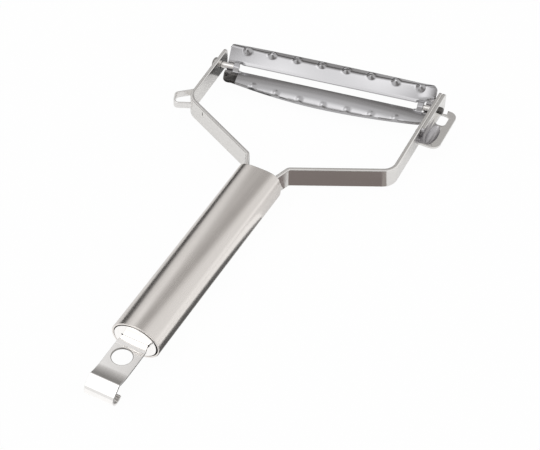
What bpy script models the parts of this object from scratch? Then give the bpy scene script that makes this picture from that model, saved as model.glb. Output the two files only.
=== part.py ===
"""Wide peeler: oval tube handle, wishbone strap frame, slanted swivel blade, eye loop, scoop and hanger hook.

Working frame: X across the handle, Y along it towards the head, Z up. Y = 0 is the head end of the tube
and Z = 0 the middle of the strap's height. place_in_frame() then moves everything so that the
origin is the middle of the underside of the bounding box.
"""
import math

import bmesh
import bpy
from mathutils import Matrix, Vector

MM = 0.001
GAP = 0.3 * MM
CUT_REACH = 8 * MM
TINY = 1e-9

# Handle tube: half width, half height and middle (x, z) of the section at each end, and how square it is
TUBE_LENGTH = 100 * MM
TUBE_WALL = 0.8 * MM
FOOT_Z = 0.4 * MM
HEAD_X = 0.5 * MM
HEAD_Z = 0.2 * MM
TUBE_FOOT = (10.6 * MM, 8.2 * MM, 0.0, FOOT_Z)
TUBE_HEAD = (10.1 * MM, 7.5 * MM, HEAD_X, HEAD_Z)
FOOT_POWER = 2.0
HEAD_POWER = 3.2
TUBE_SEGMENTS = 72
TUBE_STATIONS = 9

# Plates that close the tube
CAP_THICKNESS = 1.2 * MM
CAP_INSET = 0.4 * MM

# Wishbone strap: corner points of its centre line, with the bend radius at each
STRAP_THICKNESS = 1.7 * MM
STRAP_HEIGHT = 9.6 * MM
STRAP_TIP_RADIUS = 1.5 * MM
STRAP_INSET_X = 6.6 * MM
STRAP_DEPTH = 18 * MM
NECK_X = 9.7 * MM
NECK_Y = 8.3 * MM
LEFT_SHOULDER = (-48.4 * MM, 27.1 * MM)
LEFT_TIP = (-50.02 * MM, 63.0 * MM)
RIGHT_SHOULDER = (48.3 * MM, 29.1 * MM)
RIGHT_TIP = (46.23 * MM, 84.0 * MM)
FOOT_BEND = 3.0 * MM
MOUTH_BEND = 6.0 * MM
NECK_BEND = 2.2 * MM
SHOULDER_BEND = 6.5 * MM

# Blade axis: where it crosses the centre line of each arm, measured from the arm's tip
PIVOT_SIDEWAYS = 0.27 * MM
PIVOT_LEFT = (LEFT_TIP[0] + PIVOT_SIDEWAYS, LEFT_TIP[1] - 6.1 * MM)
PIVOT_RIGHT = (RIGHT_TIP[0] + PIVOT_SIDEWAYS, RIGHT_TIP[1] - 7.5 * MM)
PIN_RADIUS = 1.45 * MM
PIN_HEAD_RADIUS = 2.6 * MM
PIN_HEAD_HEIGHT = 1.9 * MM
PIN_HEAD_RIM = 0.35
PIN_HEAD_BITE = 0.5 * MM
PIN_END_INSET = 0.6 * MM

# Blade, in its own frame: u along the axis, v across it, w up
BLADE_TILT = math.radians(20)
BLADE_THICKNESS = 0.7 * MM
BLADE_END_LEFT = 2.3 * MM
BLADE_END_RIGHT = 0.55 * MM
BLADE_HALF_WIDTH = 11.8 * MM
BLADE_END_RISE = 2.0 * MM
SLOT_HALF_WIDTH = 1.6 * MM
FOLD_V = 7.8 * MM
FOLD_W = 1.15 * MM
BAND_LEAST = 1.2 * MM
EDGE_W = 0.4 * MM
TROUGH_LENGTH = 3.0 * MM
LANCE_GAP = 0.5 * MM
ARCH_LENGTH = 2.6 * MM
BEARING_FLAT = 0.9 * MM
BEARING_HALF_WIDTH = 3.1 * MM
ARCH_RUNOUT = 1.4 * MM

# Each long edge of the blade: half width at mid-length, then for the left and the right end
# how far the edge draws in there and the radius of its corner
FAR_EDGE = (BLADE_HALF_WIDTH, (1.9 * MM, 1.4 * MM), (1.9 * MM, 4.0 * MM))
NEAR_EDGE = (BLADE_HALF_WIDTH - 0.5 * MM, (3.2 * MM, 3.0 * MM), (2.0 * MM, 3.0 * MM))

# Ribs pressed across the edges: how many, and the u of the middle of the row with the pitch
RIB_HALF_WIDTH = 0.85 * MM
RIB_START = 1.6 * MM
RIB_EASE_IN = 1.2 * MM
RIB_EASE_OUT = 0.9 * MM
RIB_AT_EDGE = 0.2
RIB_HEIGHT = 0.55 * MM
FAR_RIB_COUNT = 8
FAR_RIB_ROW = (1.3 * MM, 11.35 * MM)
NEAR_RIB_COUNT = 7
NEAR_RIB_ROW = (1.0 * MM, 10.85 * MM)

# Blade grid, in millimetres: places near each end, rows from the slot to the fold, shares of the outer band
GRID_FROM_END = (0, 0.4, 0.9, 1.4, 2.2)
GRID_ROWS = (0, 0.5, 1.0, SLOT_HALF_WIDTH / MM, 2.3, BEARING_HALF_WIDTH / MM, 4.6, 6.3, FOLD_V / MM)
GRID_BAND = (0.1, 0.35, 0.7, 1.0)
GRID_RIB = (-1, -0.7, 0, 0.7, 1)
GRID_LEAST = 0.12 * MM

# Hanger strip with its hook
HANGER_THICKNESS = 0.9 * MM
HANGER_HALF_WIDTH = 6.4 * MM
TONGUE_HALF_WIDTH = 5.8 * MM
TONGUE_DEPTH = 14 * MM
SHOULDER_START = 1.0 * MM
SHOULDER_END = 2.8 * MM
HOOK_CREASE = 21.5 * MM
HOOK_DROP_ANGLE = math.radians(34)
HOOK_RADIUS = 2.65 * MM
HOOK_RAMP = 4.1 * MM
HOOK_TURN = 200
HANGING_HOLE_RADIUS = 3.8 * MM
HANGING_HOLE_Y = 9.2 * MM

# Eye loop on the left shoulder; its corner points are measured from the corner of the strap's centre line
LOOP_THICKNESS = 0.8 * MM
LOOP_HEIGHT = 3.1 * MM
LOOP_BEND = 1.8 * MM
LOOP_POINTS = ((-0.5 * MM, 9.6 * MM), (-8.5 * MM, 2.3 * MM), (-6.0 * MM, -3.7 * MM), (1.1 * MM, -0.2 * MM))

# Eye scoop on the right arm
PLATE_THICKNESS = 1.5 * MM
PLATE_LENGTH = 26.5 * MM
PLATE_CORNER = 1.2 * MM
SCOOP_THICKNESS = 1.0 * MM
SCOOP_REACH = 8.2 * MM
SCOOP_LENGTH = 24.7 * MM
SCOOP_TOP = 5.8 * MM
SCOOP_CORNER = 3.6 * MM
SCOOP_BOWL_DEPTH = 2.4 * MM
SCOOP_BOWL_CENTER = 17.6 * MM
SCOOP_BOWL_HALF = (2.9 * MM, 6.4 * MM)
SCOOP_BOWL_INSET = 0.2 * MM
SCOOP_BOWL_POWER = 0.7
SCOOP_HOLE = (4.7 * MM, 7.0 * MM)
SCOOP_HOLE_CENTER = (3.0 * MM, 7.0 * MM)
SCOOP_HOLE_CORNER = 1.8 * MM
TAB_HEIGHT = 5.0 * MM
TAB_PROUD = 0.3 * MM

STEEL_BRUSHED = ("steel_brushed", (0.62, 0.60, 0.57), 0.34)
STEEL_STRAP = ("steel_strap", (0.60, 0.59, 0.57), 0.28)
STEEL_BLADE = ("steel_blade", (0.56, 0.56, 0.57), 0.22)
STEEL_POLISHED = ("steel_polished", (0.70, 0.69, 0.67), 0.15)


def clear_scene():
    """Removes whatever the start file holds."""
    for item in list(bpy.data.objects):
        bpy.data.objects.remove(item, do_unlink=True)


def steel(spec):
    """Makes a metal material of the given name, colour and roughness."""
    name, color, roughness = spec
    material = bpy.data.materials.new(name)
    material.use_nodes = True
    shader = material.node_tree.nodes["Principled BSDF"]
    shader.inputs["Base Color"].default_value = (*color, 1.0)
    shader.inputs["Metallic"].default_value = 1.0
    shader.inputs["Roughness"].default_value = roughness
    return material


def add_object(name, verts, faces, spec=None, origin=(0, 0, 0)):
    """Makes a closed mesh object facing outwards, its origin at the given point."""
    base = Vector(origin)
    mesh = bpy.data.meshes.new(name)
    mesh.from_pydata([Vector(v) - base for v in verts], [], faces)
    body = bmesh.new()
    body.from_mesh(mesh)
    bmesh.ops.recalc_face_normals(body, faces=body.faces)
    body.to_mesh(mesh)
    body.free()
    item = bpy.data.objects.new(name, mesh)
    item.location = base
    bpy.context.scene.collection.objects.link(item)
    if spec:
        mesh.materials.append(steel(spec))
        mesh.shade_smooth()
        mesh.set_sharp_from_angle(angle=math.radians(35))
    return item


def combine(target, tool, operation):
    """Applies an exact Boolean to the target and removes the tool."""
    modifier = target.modifiers.new(tool.name, "BOOLEAN")
    modifier.operation = operation
    modifier.solver = "EXACT"
    modifier.object = tool
    bpy.context.view_layer.objects.active = target
    bpy.ops.object.modifier_apply(modifier=modifier.name)
    bpy.data.objects.remove(tool, do_unlink=True)


def loft(rings):
    """Joins equal rings of points into a closed tube of faces; the last ring joins the first."""
    count = len(rings[0])
    verts = [point for ring in rings for point in ring]
    faces = []
    for i in range(len(rings)):
        after = (i + 1) % len(rings)
        for j in range(count):
            k = (j + 1) % count
            faces.append((i * count + j, i * count + k, after * count + k, after * count + j))
    return verts, faces


def stack(rings):
    """Joins equal rings of points one after another and closes the first and the last with a flat face."""
    count = len(rings[0])
    verts = [point for ring in rings for point in ring]
    faces = [tuple(range(count)), tuple(range(len(verts) - count, len(verts)))]
    for k in range(len(rings) - 1):
        for i in range(count):
            n = (i + 1) % count
            faces.append((k * count + i, k * count + n, (k + 1) * count + n, (k + 1) * count + i))
    return verts, faces


def prism(outline, low, high):
    """Turns a list of (x, y) points into a solid between two heights."""
    return stack([[(x, y, z) for x, y in outline] for z in (low, high)])


def arc(center, radius, first, turn=90, steps=8):
    """Gives the points of an arc; the angles are in degrees."""
    angles = [math.radians(first + turn * step / steps) for step in range(steps + 1)]
    return [(center[0] + radius * math.cos(angle), center[1] + radius * math.sin(angle)) for angle in angles]


def circle(radius, segments=40):
    """Gives the points of a circle about the origin."""
    return arc((0, 0), radius, 0, 360, segments)[:-1]


def turned(points, angle=0.0, shift=(0, 0, 0), axis="Z"):
    """Rotates points about an axis through the origin, then moves them."""
    move = Matrix.Translation(shift) @ Matrix.Rotation(angle, 4, axis)
    return [move @ Vector(point) for point in points]


def block(name, center, size, angle=0.0):
    """Makes a box turned about Z, for cutting or joining."""
    half_x, half_y, half_z = (value / 2 for value in size)
    corners = [(-half_x, -half_y), (half_x, -half_y), (half_x, half_y), (-half_x, half_y)]
    verts, faces = prism(corners, -half_z, half_z)
    return add_object(name, turned(verts, angle, center), faces)


def rod(name, start, end, radius, segments=40):
    """Makes a round bar between two points."""
    start, end = Vector(start), Vector(end)
    turn = (end - start).to_track_quat("Z", "Y").to_matrix()
    verts, faces = prism(circle(radius, segments), 0, (end - start).length)
    return add_object(name, [start + turn @ Vector(v) for v in verts], faces)


def rounded_path(points, radii, steps=10):
    """Replaces the inner corners of a path by arcs of the given radii."""
    path = [Vector(points[0])]
    for i in range(1, len(points) - 1):
        corner = Vector(points[i])
        back = (Vector(points[i - 1]) - corner).normalized()
        ahead = (Vector(points[i + 1]) - corner).normalized()
        half = back.angle(ahead) / 2
        middle = (back + ahead).normalized()
        center = corner + middle * (radii[i - 1] / math.sin(half))
        sweep = math.pi / 2 - half
        side = 1 if back.x * ahead.y - back.y * ahead.x > 0 else -1
        for step in range(steps + 1):
            angle = side * sweep * (1 - 2 * step / steps)
            spoke = Matrix.Rotation(angle, 2) @ -middle
            path.append(center + spoke * radii[i - 1])
    path.append(Vector(points[-1]))
    return path


def path_normals(path):
    """Gives the mitred sideways direction at each point of a path, scaled to keep the width."""
    normals = []
    for i in range(len(path)):
        legs = []
        if i > 0:
            legs.append((path[i] - path[i - 1]).normalized())
        if i < len(path) - 1:
            legs.append((path[i + 1] - path[i]).normalized())
        sides = [Vector((-leg.y, leg.x)) for leg in legs]
        mean = sum(sides, Vector((0, 0))).normalized()
        normals.append(mean / mean.dot(sides[0]))
    return normals


def corner_loss(distance, radius):
    """How much a rounded corner takes off the edge at this distance from the end."""
    if distance >= radius:
        return 0.0
    return radius - math.sqrt(radius ** 2 - (radius - distance) ** 2)


def sweep_strip(path, thickness, half_height):
    """Makes a flat strip that stands on edge along a path in the XY plane."""
    sections = []
    for i, (point, normal) in enumerate(zip(path, path_normals(path))):
        side = normal * thickness / 2
        high = half_height(i)
        sections.append([(point.x + sign * side.x, point.y + sign * side.y, z)
                         for sign, z in ((1, -high), (1, high), (-1, high), (-1, -high))])
    return stack(sections)


def oval(half_width, half_height, power, segments=TUBE_SEGMENTS):
    """Gives the points of a superellipse: power 2 is an ellipse, higher is squarer."""
    points = []
    for i in range(segments):
        angle = 2 * math.pi * i / segments
        c, s = math.cos(angle), math.sin(angle)
        points.append((half_width * math.copysign(abs(c) ** (2 / power), c),
                       half_height * math.copysign(abs(s) ** (2 / power), s)))
    return points


def tube_section(y, inward=0.0):
    """Gives the tube's section at a Y position, made smaller by the given depth."""
    share = (y + TUBE_LENGTH) / TUBE_LENGTH
    width, height, mid_x, mid_z = (foot + (head - foot) * share for foot, head in zip(TUBE_FOOT, TUBE_HEAD))
    power = FOOT_POWER + (HEAD_POWER - FOOT_POWER) * share
    return [(mid_x + x, y, mid_z + z) for x, z in oval(width - inward, height - inward, power)]


def smooth(value):
    """Eases from 0 to 1 between 0 and 1."""
    value = min(max(value, 0.0), 1.0)
    return value * value * (3 - 2 * value)


def sheet_faces(columns, rows, kept):
    """Closes a grid of top points and the same grid of lower points into one body.

    The top points come first, column by column. kept(i, j) says whether a cell is metal.
    """
    count = columns * rows
    cells = {(i, j) for i in range(columns - 1) for j in range(rows - 1) if kept(i, j)}
    faces = []
    for i, j in sorted(cells):
        a, b = i * rows + j, (i + 1) * rows + j
        faces.append((a, b, b + 1, a + 1))
        faces.append((a + count, a + 1 + count, b + 1 + count, b + count))
        walls = {(i - 1, j): (a, a + 1), (i + 1, j): (b, b + 1),
                 (i, j - 1): (a, b), (i, j + 1): (a + 1, b + 1)}
        for beside, (p, q) in walls.items():
            if beside not in cells:
                faces.append((p, q, q + count, p + count))
    return faces


def drop_unused(verts, faces):
    """Leaves out the grid points that no face uses."""
    used = sorted({index for face in faces for index in face})
    place = {old: new for new, old in enumerate(used)}
    return [verts[old] for old in used], [tuple(place[index] for index in face) for face in faces]


def slant():
    """The angle of the blade axis to X."""
    return math.atan2(PIVOT_RIGHT[1] - PIVOT_LEFT[1], PIVOT_RIGHT[0] - PIVOT_LEFT[0])


def blade_center():
    """The middle of the blade axis between the arms."""
    return Vector(((PIVOT_LEFT[0] + PIVOT_RIGHT[0]) / 2, (PIVOT_LEFT[1] + PIVOT_RIGHT[1]) / 2, 0))


def axis_reach():
    """Half the distance between the two pivots."""
    return math.dist(PIVOT_LEFT, PIVOT_RIGHT) / 2


def axis_point(u):
    """The point of the blade axis at distance u from its middle."""
    return blade_center() + Vector((math.cos(slant()), math.sin(slant()), 0)) * u


def arm_direction(side):
    """Direction of an upper arm from shoulder to tip; side is -1 for left and 1 for right."""
    shoulder, tip = (LEFT_SHOULDER, LEFT_TIP) if side < 0 else (RIGHT_SHOULDER, RIGHT_TIP)
    return (Vector(tip) - Vector(shoulder)).normalized()


def arm_outward(side):
    """Direction square to an upper arm, away from the head."""
    ahead = arm_direction(side)
    return Vector((ahead.y, -ahead.x, 0)) * side


def loop_corners():
    """The corner points of the eye loop's centre line."""
    return [Vector(LEFT_SHOULDER) + Vector(point) for point in LOOP_POINTS]


def build_tube():
    """The oval handle tube, open at both ends."""
    rings = []
    for i in range(TUBE_STATIONS):
        rings.append(tube_section(-TUBE_LENGTH + TUBE_LENGTH * i / (TUBE_STATIONS - 1)))
    for i in reversed(range(TUBE_STATIONS)):
        rings.append(tube_section(-TUBE_LENGTH + TUBE_LENGTH * i / (TUBE_STATIONS - 1), TUBE_WALL))
    verts, faces = loft(rings)
    return add_object("handle_tube", verts, faces, STEEL_BRUSHED)


def build_plate(name, outer_y, inner_y, spec):
    """An oval plate that fits inside the tube between two Y positions."""
    verts, faces = stack([tube_section(y, TUBE_WALL + GAP) for y in (outer_y, inner_y)])
    return add_object(name, verts, faces, spec)


def build_end_cap():
    """The plate in the tube's lower end, with the slit for the hanger."""
    outer = -TUBE_LENGTH + CAP_INSET
    cap = build_plate("end_cap", outer, outer + CAP_THICKNESS, STEEL_POLISHED)
    slit = block("slit", (0, outer, FOOT_Z),
                 (2 * (TONGUE_HALF_WIDTH + GAP), 4 * CAP_THICKNESS, HANGER_THICKNESS + 2 * GAP))
    combine(cap, slit, "DIFFERENCE")
    return cap


def build_neck_plate():
    """The plate in the tube's head end, notched on both sides for the straps."""
    plate = build_plate("neck_plate", -CAP_INSET, -CAP_INSET - CAP_THICKNESS, STEEL_POLISHED)
    inner_x = STRAP_INSET_X - STRAP_THICKNESS / 2 - GAP
    for side in (-1, 1):
        notch = block("notch", (HEAD_X + side * (inner_x + TUBE_HEAD[0]), -CAP_INSET, 0),
                      (2 * TUBE_HEAD[0], 4 * CAP_THICKNESS, STRAP_HEIGHT + 2 * GAP))
        combine(plate, notch, "DIFFERENCE")
    return plate


def strap_path():
    """The strap's centre line from the left tip, through the tube, to the right tip."""
    left_x, right_x = HEAD_X - STRAP_INSET_X, HEAD_X + STRAP_INSET_X
    corners = [LEFT_TIP, LEFT_SHOULDER, (-NECK_X, NECK_Y), (left_x, 0), (left_x, -STRAP_DEPTH),
               (right_x, -STRAP_DEPTH), (right_x, 0), (NECK_X, NECK_Y), RIGHT_SHOULDER, RIGHT_TIP]
    radii = [SHOULDER_BEND, NECK_BEND, MOUTH_BEND, FOOT_BEND, FOOT_BEND, MOUTH_BEND, NECK_BEND, SHOULDER_BEND]
    path = rounded_path(corners, radii)
    tip_steps = [STRAP_TIP_RADIUS * (1 - math.cos(math.pi * k / 12)) for k in range(1, 7)]
    left = [path[0] + (path[1] - path[0]).normalized() * step for step in tip_steps]
    right = [path[-1] + (path[-2] - path[-1]).normalized() * step for step in reversed(tip_steps)]
    return [path[0]] + left + path[1:-1] + right + [path[-1]]


def build_frame_strap():
    """The bent strap with its pin holes, loop pockets and the slot for the scoop's tab."""
    path = strap_path()

    def half_height(i):
        distance = min((path[i] - path[0]).length, (path[i] - path[-1]).length)
        return STRAP_HEIGHT / 2 - corner_loss(distance, STRAP_TIP_RADIUS)

    verts, faces = sweep_strip(path, STRAP_THICKNESS, half_height)
    strap = add_object("frame_strap", verts, faces, STEEL_STRAP)
    for end in (-1, 1):
        middle = end * axis_reach()
        hole = rod("hole", axis_point(middle - CUT_REACH), axis_point(middle + CUT_REACH), PIN_RADIUS + GAP)
        combine(strap, hole, "DIFFERENCE")
    corners = loop_corners()
    for root, outer in ((corners[0], corners[1]), (corners[3], corners[2])):
        inward = (root - outer).normalized()
        center = root + inward * (GAP - CUT_REACH / 2)
        size = (CUT_REACH, LOOP_THICKNESS + 2 * GAP, LOOP_HEIGHT + 2 * GAP)
        pocket = block("pocket", (center.x, center.y, 0), size, math.atan2(inward.y, inward.x))
        combine(strap, pocket, "DIFFERENCE")
    slot = block("slot", tab_center(), (CUT_REACH, PLATE_THICKNESS + 2 * GAP, TAB_HEIGHT + 2 * GAP),
                 math.atan2(arm_outward(1).y, arm_outward(1).x))
    combine(strap, slot, "DIFFERENCE")
    return strap


def build_hanger():
    """The hanger strip: a tongue in the tube, the flat with its hole, and the rolled hook."""
    foot = -TUBE_LENGTH
    profile = [(foot - y, 0.0) for y in (-TONGUE_DEPTH, SHOULDER_START, SHOULDER_END, HOOK_CREASE)]
    down = (-math.cos(HOOK_DROP_ANGLE), -math.sin(HOOK_DROP_ANGLE))
    start = (foot - HOOK_CREASE + down[0] * HOOK_RAMP, down[1] * HOOK_RAMP)
    center = (start[0] - down[1] * HOOK_RADIUS, start[1] + down[0] * HOOK_RADIUS)
    first = math.degrees(math.atan2(start[1] - center[1], start[0] - center[0]))
    profile += arc(center, HOOK_RADIUS, first, HOOK_TURN, 20)
    path = [Vector(point) for point in profile]
    sections = []
    for point, normal in zip(path, path_normals(path)):
        wide = HANGER_HALF_WIDTH if point.x < foot - SHOULDER_END + TINY else TONGUE_HALF_WIDTH
        side = normal * HANGER_THICKNESS / 2
        sections.append([(x, point.x + sign * side.x, FOOT_Z + point.y + sign * side.y)
                         for x, sign in ((-wide, 1), (wide, 1), (wide, -1), (-wide, -1))])
    verts, faces = stack(sections)
    hanger = add_object("hanger_hook", verts, faces, STEEL_POLISHED)
    hole_y = foot - HANGING_HOLE_Y
    hole = rod("hole", (0, hole_y, -CUT_REACH), (0, hole_y, CUT_REACH), HANGING_HOLE_RADIUS, 64)
    combine(hanger, hole, "DIFFERENCE")
    return hanger


def blade_ends():
    """The blade's two ends on its axis, measured from the middle between the pivots."""
    inner = axis_reach() - STRAP_THICKNESS / 2
    return -inner + BLADE_END_LEFT, inner - BLADE_END_RIGHT


def rib_centers(side):
    """The u positions of a row of ribs; side is 1 for the far edge and -1 for the near edge."""
    count, (middle, pitch) = (FAR_RIB_COUNT, FAR_RIB_ROW) if side > 0 else (NEAR_RIB_COUNT, NEAR_RIB_ROW)
    return [middle + pitch * (i - (count - 1) / 2) for i in range(count)]


def blade_stations():
    """The u positions of the blade's grid, finer at the bearings and the ribs."""
    left, right = blade_ends()
    bearing = [distance * MM for distance in GRID_FROM_END] + [TROUGH_LENGTH, TROUGH_LENGTH + LANCE_GAP]
    arch_end = TROUGH_LENGTH + LANCE_GAP + ARCH_LENGTH
    bearing += [arch_end - ARCH_LENGTH / 2, arch_end, arch_end + ARCH_RUNOUT / 2, arch_end + ARCH_RUNOUT]
    stations = [left + d for d in bearing] + [right - d for d in bearing]
    for side in (1, -1):
        for center in rib_centers(side):
            stations += [center + RIB_HALF_WIDTH * share for share in GRID_RIB]
    stations.sort()
    kept = [stations[0]]
    for station in stations[1:]:
        if station - kept[-1] > GRID_LEAST:
            kept.append(station)
    return kept


def blade_edge(u, side):
    """Half width of the blade at u; side is 1 for the far edge and -1 for the near edge."""
    left, right = blade_ends()
    half_width, (left_bow, left_corner), (right_bow, right_corner) = FAR_EDGE if side > 0 else NEAR_EDGE
    bow = left_bow * (u / left) ** 2 if u < 0 else right_bow * (u / right) ** 2
    return half_width - bow - corner_loss(u - left, left_corner) - corner_loss(right - u, right_corner)


def blade_rows():
    """The grid's rows: fixed v positions up to the fold, then shares of the outer band."""
    half = [("at", v * MM) for v in GRID_ROWS] + [("band", share) for share in GRID_BAND]
    near = [(kind, value, -1) for kind, value in reversed(half[1:])]
    return near + [(kind, value, 1) for kind, value in half]


def row_distance(kind, value, edge):
    """Distance of a grid row from the axis; the fold gives way where a rounded corner comes near."""
    fold = min(FOLD_V, edge - BAND_LEAST)
    if kind == "band":
        return fold + (edge - fold) * value
    if value <= BEARING_HALF_WIDTH:
        return value
    squeeze = (fold - BEARING_HALF_WIDTH) / (FOLD_V - BEARING_HALF_WIDTH)
    return BEARING_HALF_WIDTH + (value - BEARING_HALF_WIDTH) * squeeze


def blade_height(u, v):
    """Height of the middle of the blade's sheet."""
    left, right = blade_ends()
    across = abs(v)
    if across <= FOLD_V:
        height = FOLD_W * smooth((across - SLOT_HALF_WIDTH) / (FOLD_V - SLOT_HALF_WIDTH))
    else:
        height = FOLD_W + (EDGE_W - FOLD_W) * (across - FOLD_V) / (BLADE_HALF_WIDTH - FOLD_V)
    reach = max(0.0, across - BEARING_HALF_WIDTH) / (BLADE_HALF_WIDTH - BEARING_HALF_WIDTH)
    height += BLADE_END_RISE * reach * (u / right) ** 2
    offset = PIN_RADIUS + GAP + BLADE_THICKNESS / 2
    saddle = 1 - smooth((across - BEARING_FLAT) / (BEARING_HALF_WIDTH - BEARING_FLAT))
    from_end = min(u - left, right - u)
    if from_end <= TROUGH_LENGTH + LANCE_GAP / 2:
        height -= offset * saddle
    else:
        runout = (from_end - TROUGH_LENGTH - LANCE_GAP - ARCH_LENGTH) / ARCH_RUNOUT
        height += offset * saddle * (1 - smooth(runout))
    return height


def rib_rise(u, v, edge):
    """How far a rib lifts the sheet at this place."""
    nearest = min(abs(u - center) for center in rib_centers(v))
    along = max(0.0, 1 - (nearest / RIB_HALF_WIDTH) ** 2)
    inner = smooth((abs(v) - FOLD_V + RIB_START) / RIB_EASE_IN)
    outer = smooth((edge - abs(v)) / RIB_EASE_OUT + RIB_AT_EDGE)
    return RIB_HEIGHT * along * inner * outer


def build_blade():
    """The slotted blade sheet, tilted about its axis and turned to the slant."""
    left, right = blade_ends()
    stations, rows = blade_stations(), blade_rows()
    arch_end = TROUGH_LENGTH + LANCE_GAP + ARCH_LENGTH
    lean = math.tan(slant() - math.atan2(-arm_direction(1).x, arm_direction(1).y))
    place = Matrix.Translation(blade_center()) @ Matrix.Rotation(slant(), 4, "Z")
    place = place @ Matrix.Rotation(BLADE_TILT, 4, "X")
    top, low, across = [], [], []
    for u in stations:
        for kind, value, side in rows:
            edge = blade_edge(u, side)
            v = side * row_distance(kind, value, edge)
            middle = blade_height(u, v) + rib_rise(u, v, edge)
            along = u + lean * v * max(0.0, 1 - (right - u) / arch_end)
            top.append(place @ Vector((along, v, middle + BLADE_THICKNESS / 2)))
            low.append(place @ Vector((along, v, middle - BLADE_THICKNESS / 2)))
            across.append(abs(v))

    def kept(i, j):
        u = (stations[i] + stations[i + 1]) / 2
        kind = [rows[j], rows[j + 1]]
        if any(item[0] != "at" for item in kind):
            return True
        v = max(item[1] for item in kind)
        from_end = min(u - left, right - u)
        if from_end > arch_end and v <= SLOT_HALF_WIDTH + TINY:
            return False
        if TROUGH_LENGTH < from_end < TROUGH_LENGTH + LANCE_GAP and v <= BEARING_HALF_WIDTH + TINY:
            return False
        return True

    faces = sheet_faces(len(stations), len(rows), kept)
    verts, faces = drop_unused(top + low, faces)
    return add_object("blade", verts, faces, STEEL_BLADE, blade_center())


def build_pin(name, side, outer_layers):
    """A pin along the blade axis with a domed head lying against the arm."""
    arch_end = TROUGH_LENGTH + LANCE_GAP + ARCH_LENGTH
    inner_end = blade_ends()[0 if side < 0 else 1] - side * (arch_end - PIN_END_INSET)
    outward = arm_outward(side)
    along = Vector((math.cos(slant()), math.sin(slant()), 0)) * side
    seat_distance = (STRAP_THICKNESS / 2 + outer_layers + GAP) / along.dot(outward)
    seat = axis_point(side * axis_reach()) + along * seat_distance
    turn = outward.to_track_quat("Z", "Y").to_matrix()
    rings = [(PIN_HEAD_RADIUS, 0.0)]
    for shrink, climb in arc((0, 0), 1, 0, 75, 5):
        height = PIN_HEAD_HEIGHT * (PIN_HEAD_RIM + (1 - PIN_HEAD_RIM) * climb)
        rings.append((PIN_HEAD_RADIUS * shrink, height))
    verts, faces = stack([[seat + turn @ Vector((x, y, height)) for x, y in circle(radius)]
                          for radius, height in rings])
    head = add_object(name, verts, faces, STEEL_POLISHED)
    shank = rod("shank", axis_point(inner_end), seat + along * PIN_HEAD_BITE, PIN_RADIUS)
    combine(head, shank, "UNION")
    return head


def build_eye_loop():
    """The thin loop on the left shoulder; its ends stand in pockets of the strap."""
    path = rounded_path(loop_corners(), [LOOP_BEND, LOOP_BEND], 8)
    verts, faces = sweep_strip(path, LOOP_THICKNESS, lambda i: LOOP_HEIGHT / 2)
    return add_object("eye_loop", verts, faces, STEEL_POLISHED)


def plate_frame():
    """The scoop plate's own frame: x away from the arm, y down the arm from the tip."""
    outward = arm_outward(1)
    tip = Vector((*RIGHT_TIP, 0)) + outward * (STRAP_THICKNESS / 2 + GAP)
    down = -Vector((*arm_direction(1), 0))
    return tip, outward, down


def on_plate(x, y, z=0.0):
    """Turns plate coordinates into working coordinates."""
    tip, outward, down = plate_frame()
    return tip + outward * x + down * y + Vector((0, 0, z))


def tab_center():
    """Middle of the tab at the lower end of the scoop plate, inside the strap."""
    return on_plate(-STRAP_THICKNESS / 2 - GAP, PLATE_LENGTH - PLATE_THICKNESS / 2)


def plate_prism(name, outline):
    """A tall solid over an outline in plate coordinates, for cutting the scoop."""
    verts, faces = stack([[on_plate(x, y, z) for x, y in outline] for z in (-CUT_REACH, CUT_REACH)])
    return add_object(name, verts, faces)


def build_scoop_plate():
    """The upright plate on the arm: rounded like the strap at the tip, with small corners at its foot."""
    half = STRAP_HEIGHT / 2
    foot, foot_z = PLATE_LENGTH - PLATE_CORNER, half - PLATE_CORNER
    tip, tip_z = STRAP_TIP_RADIUS, half - STRAP_TIP_RADIUS
    outline = arc((foot, foot_z), PLATE_CORNER, 0) + arc((tip, tip_z), STRAP_TIP_RADIUS, 90)
    outline += arc((tip, -tip_z), STRAP_TIP_RADIUS, 180) + arc((foot, -foot_z), PLATE_CORNER, 270)
    verts, faces = stack([[on_plate(x, y, z) for y, z in outline] for x in (0, PLATE_THICKNESS)])
    return add_object("eye_scoop", verts, faces, STEEL_POLISHED)


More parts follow.
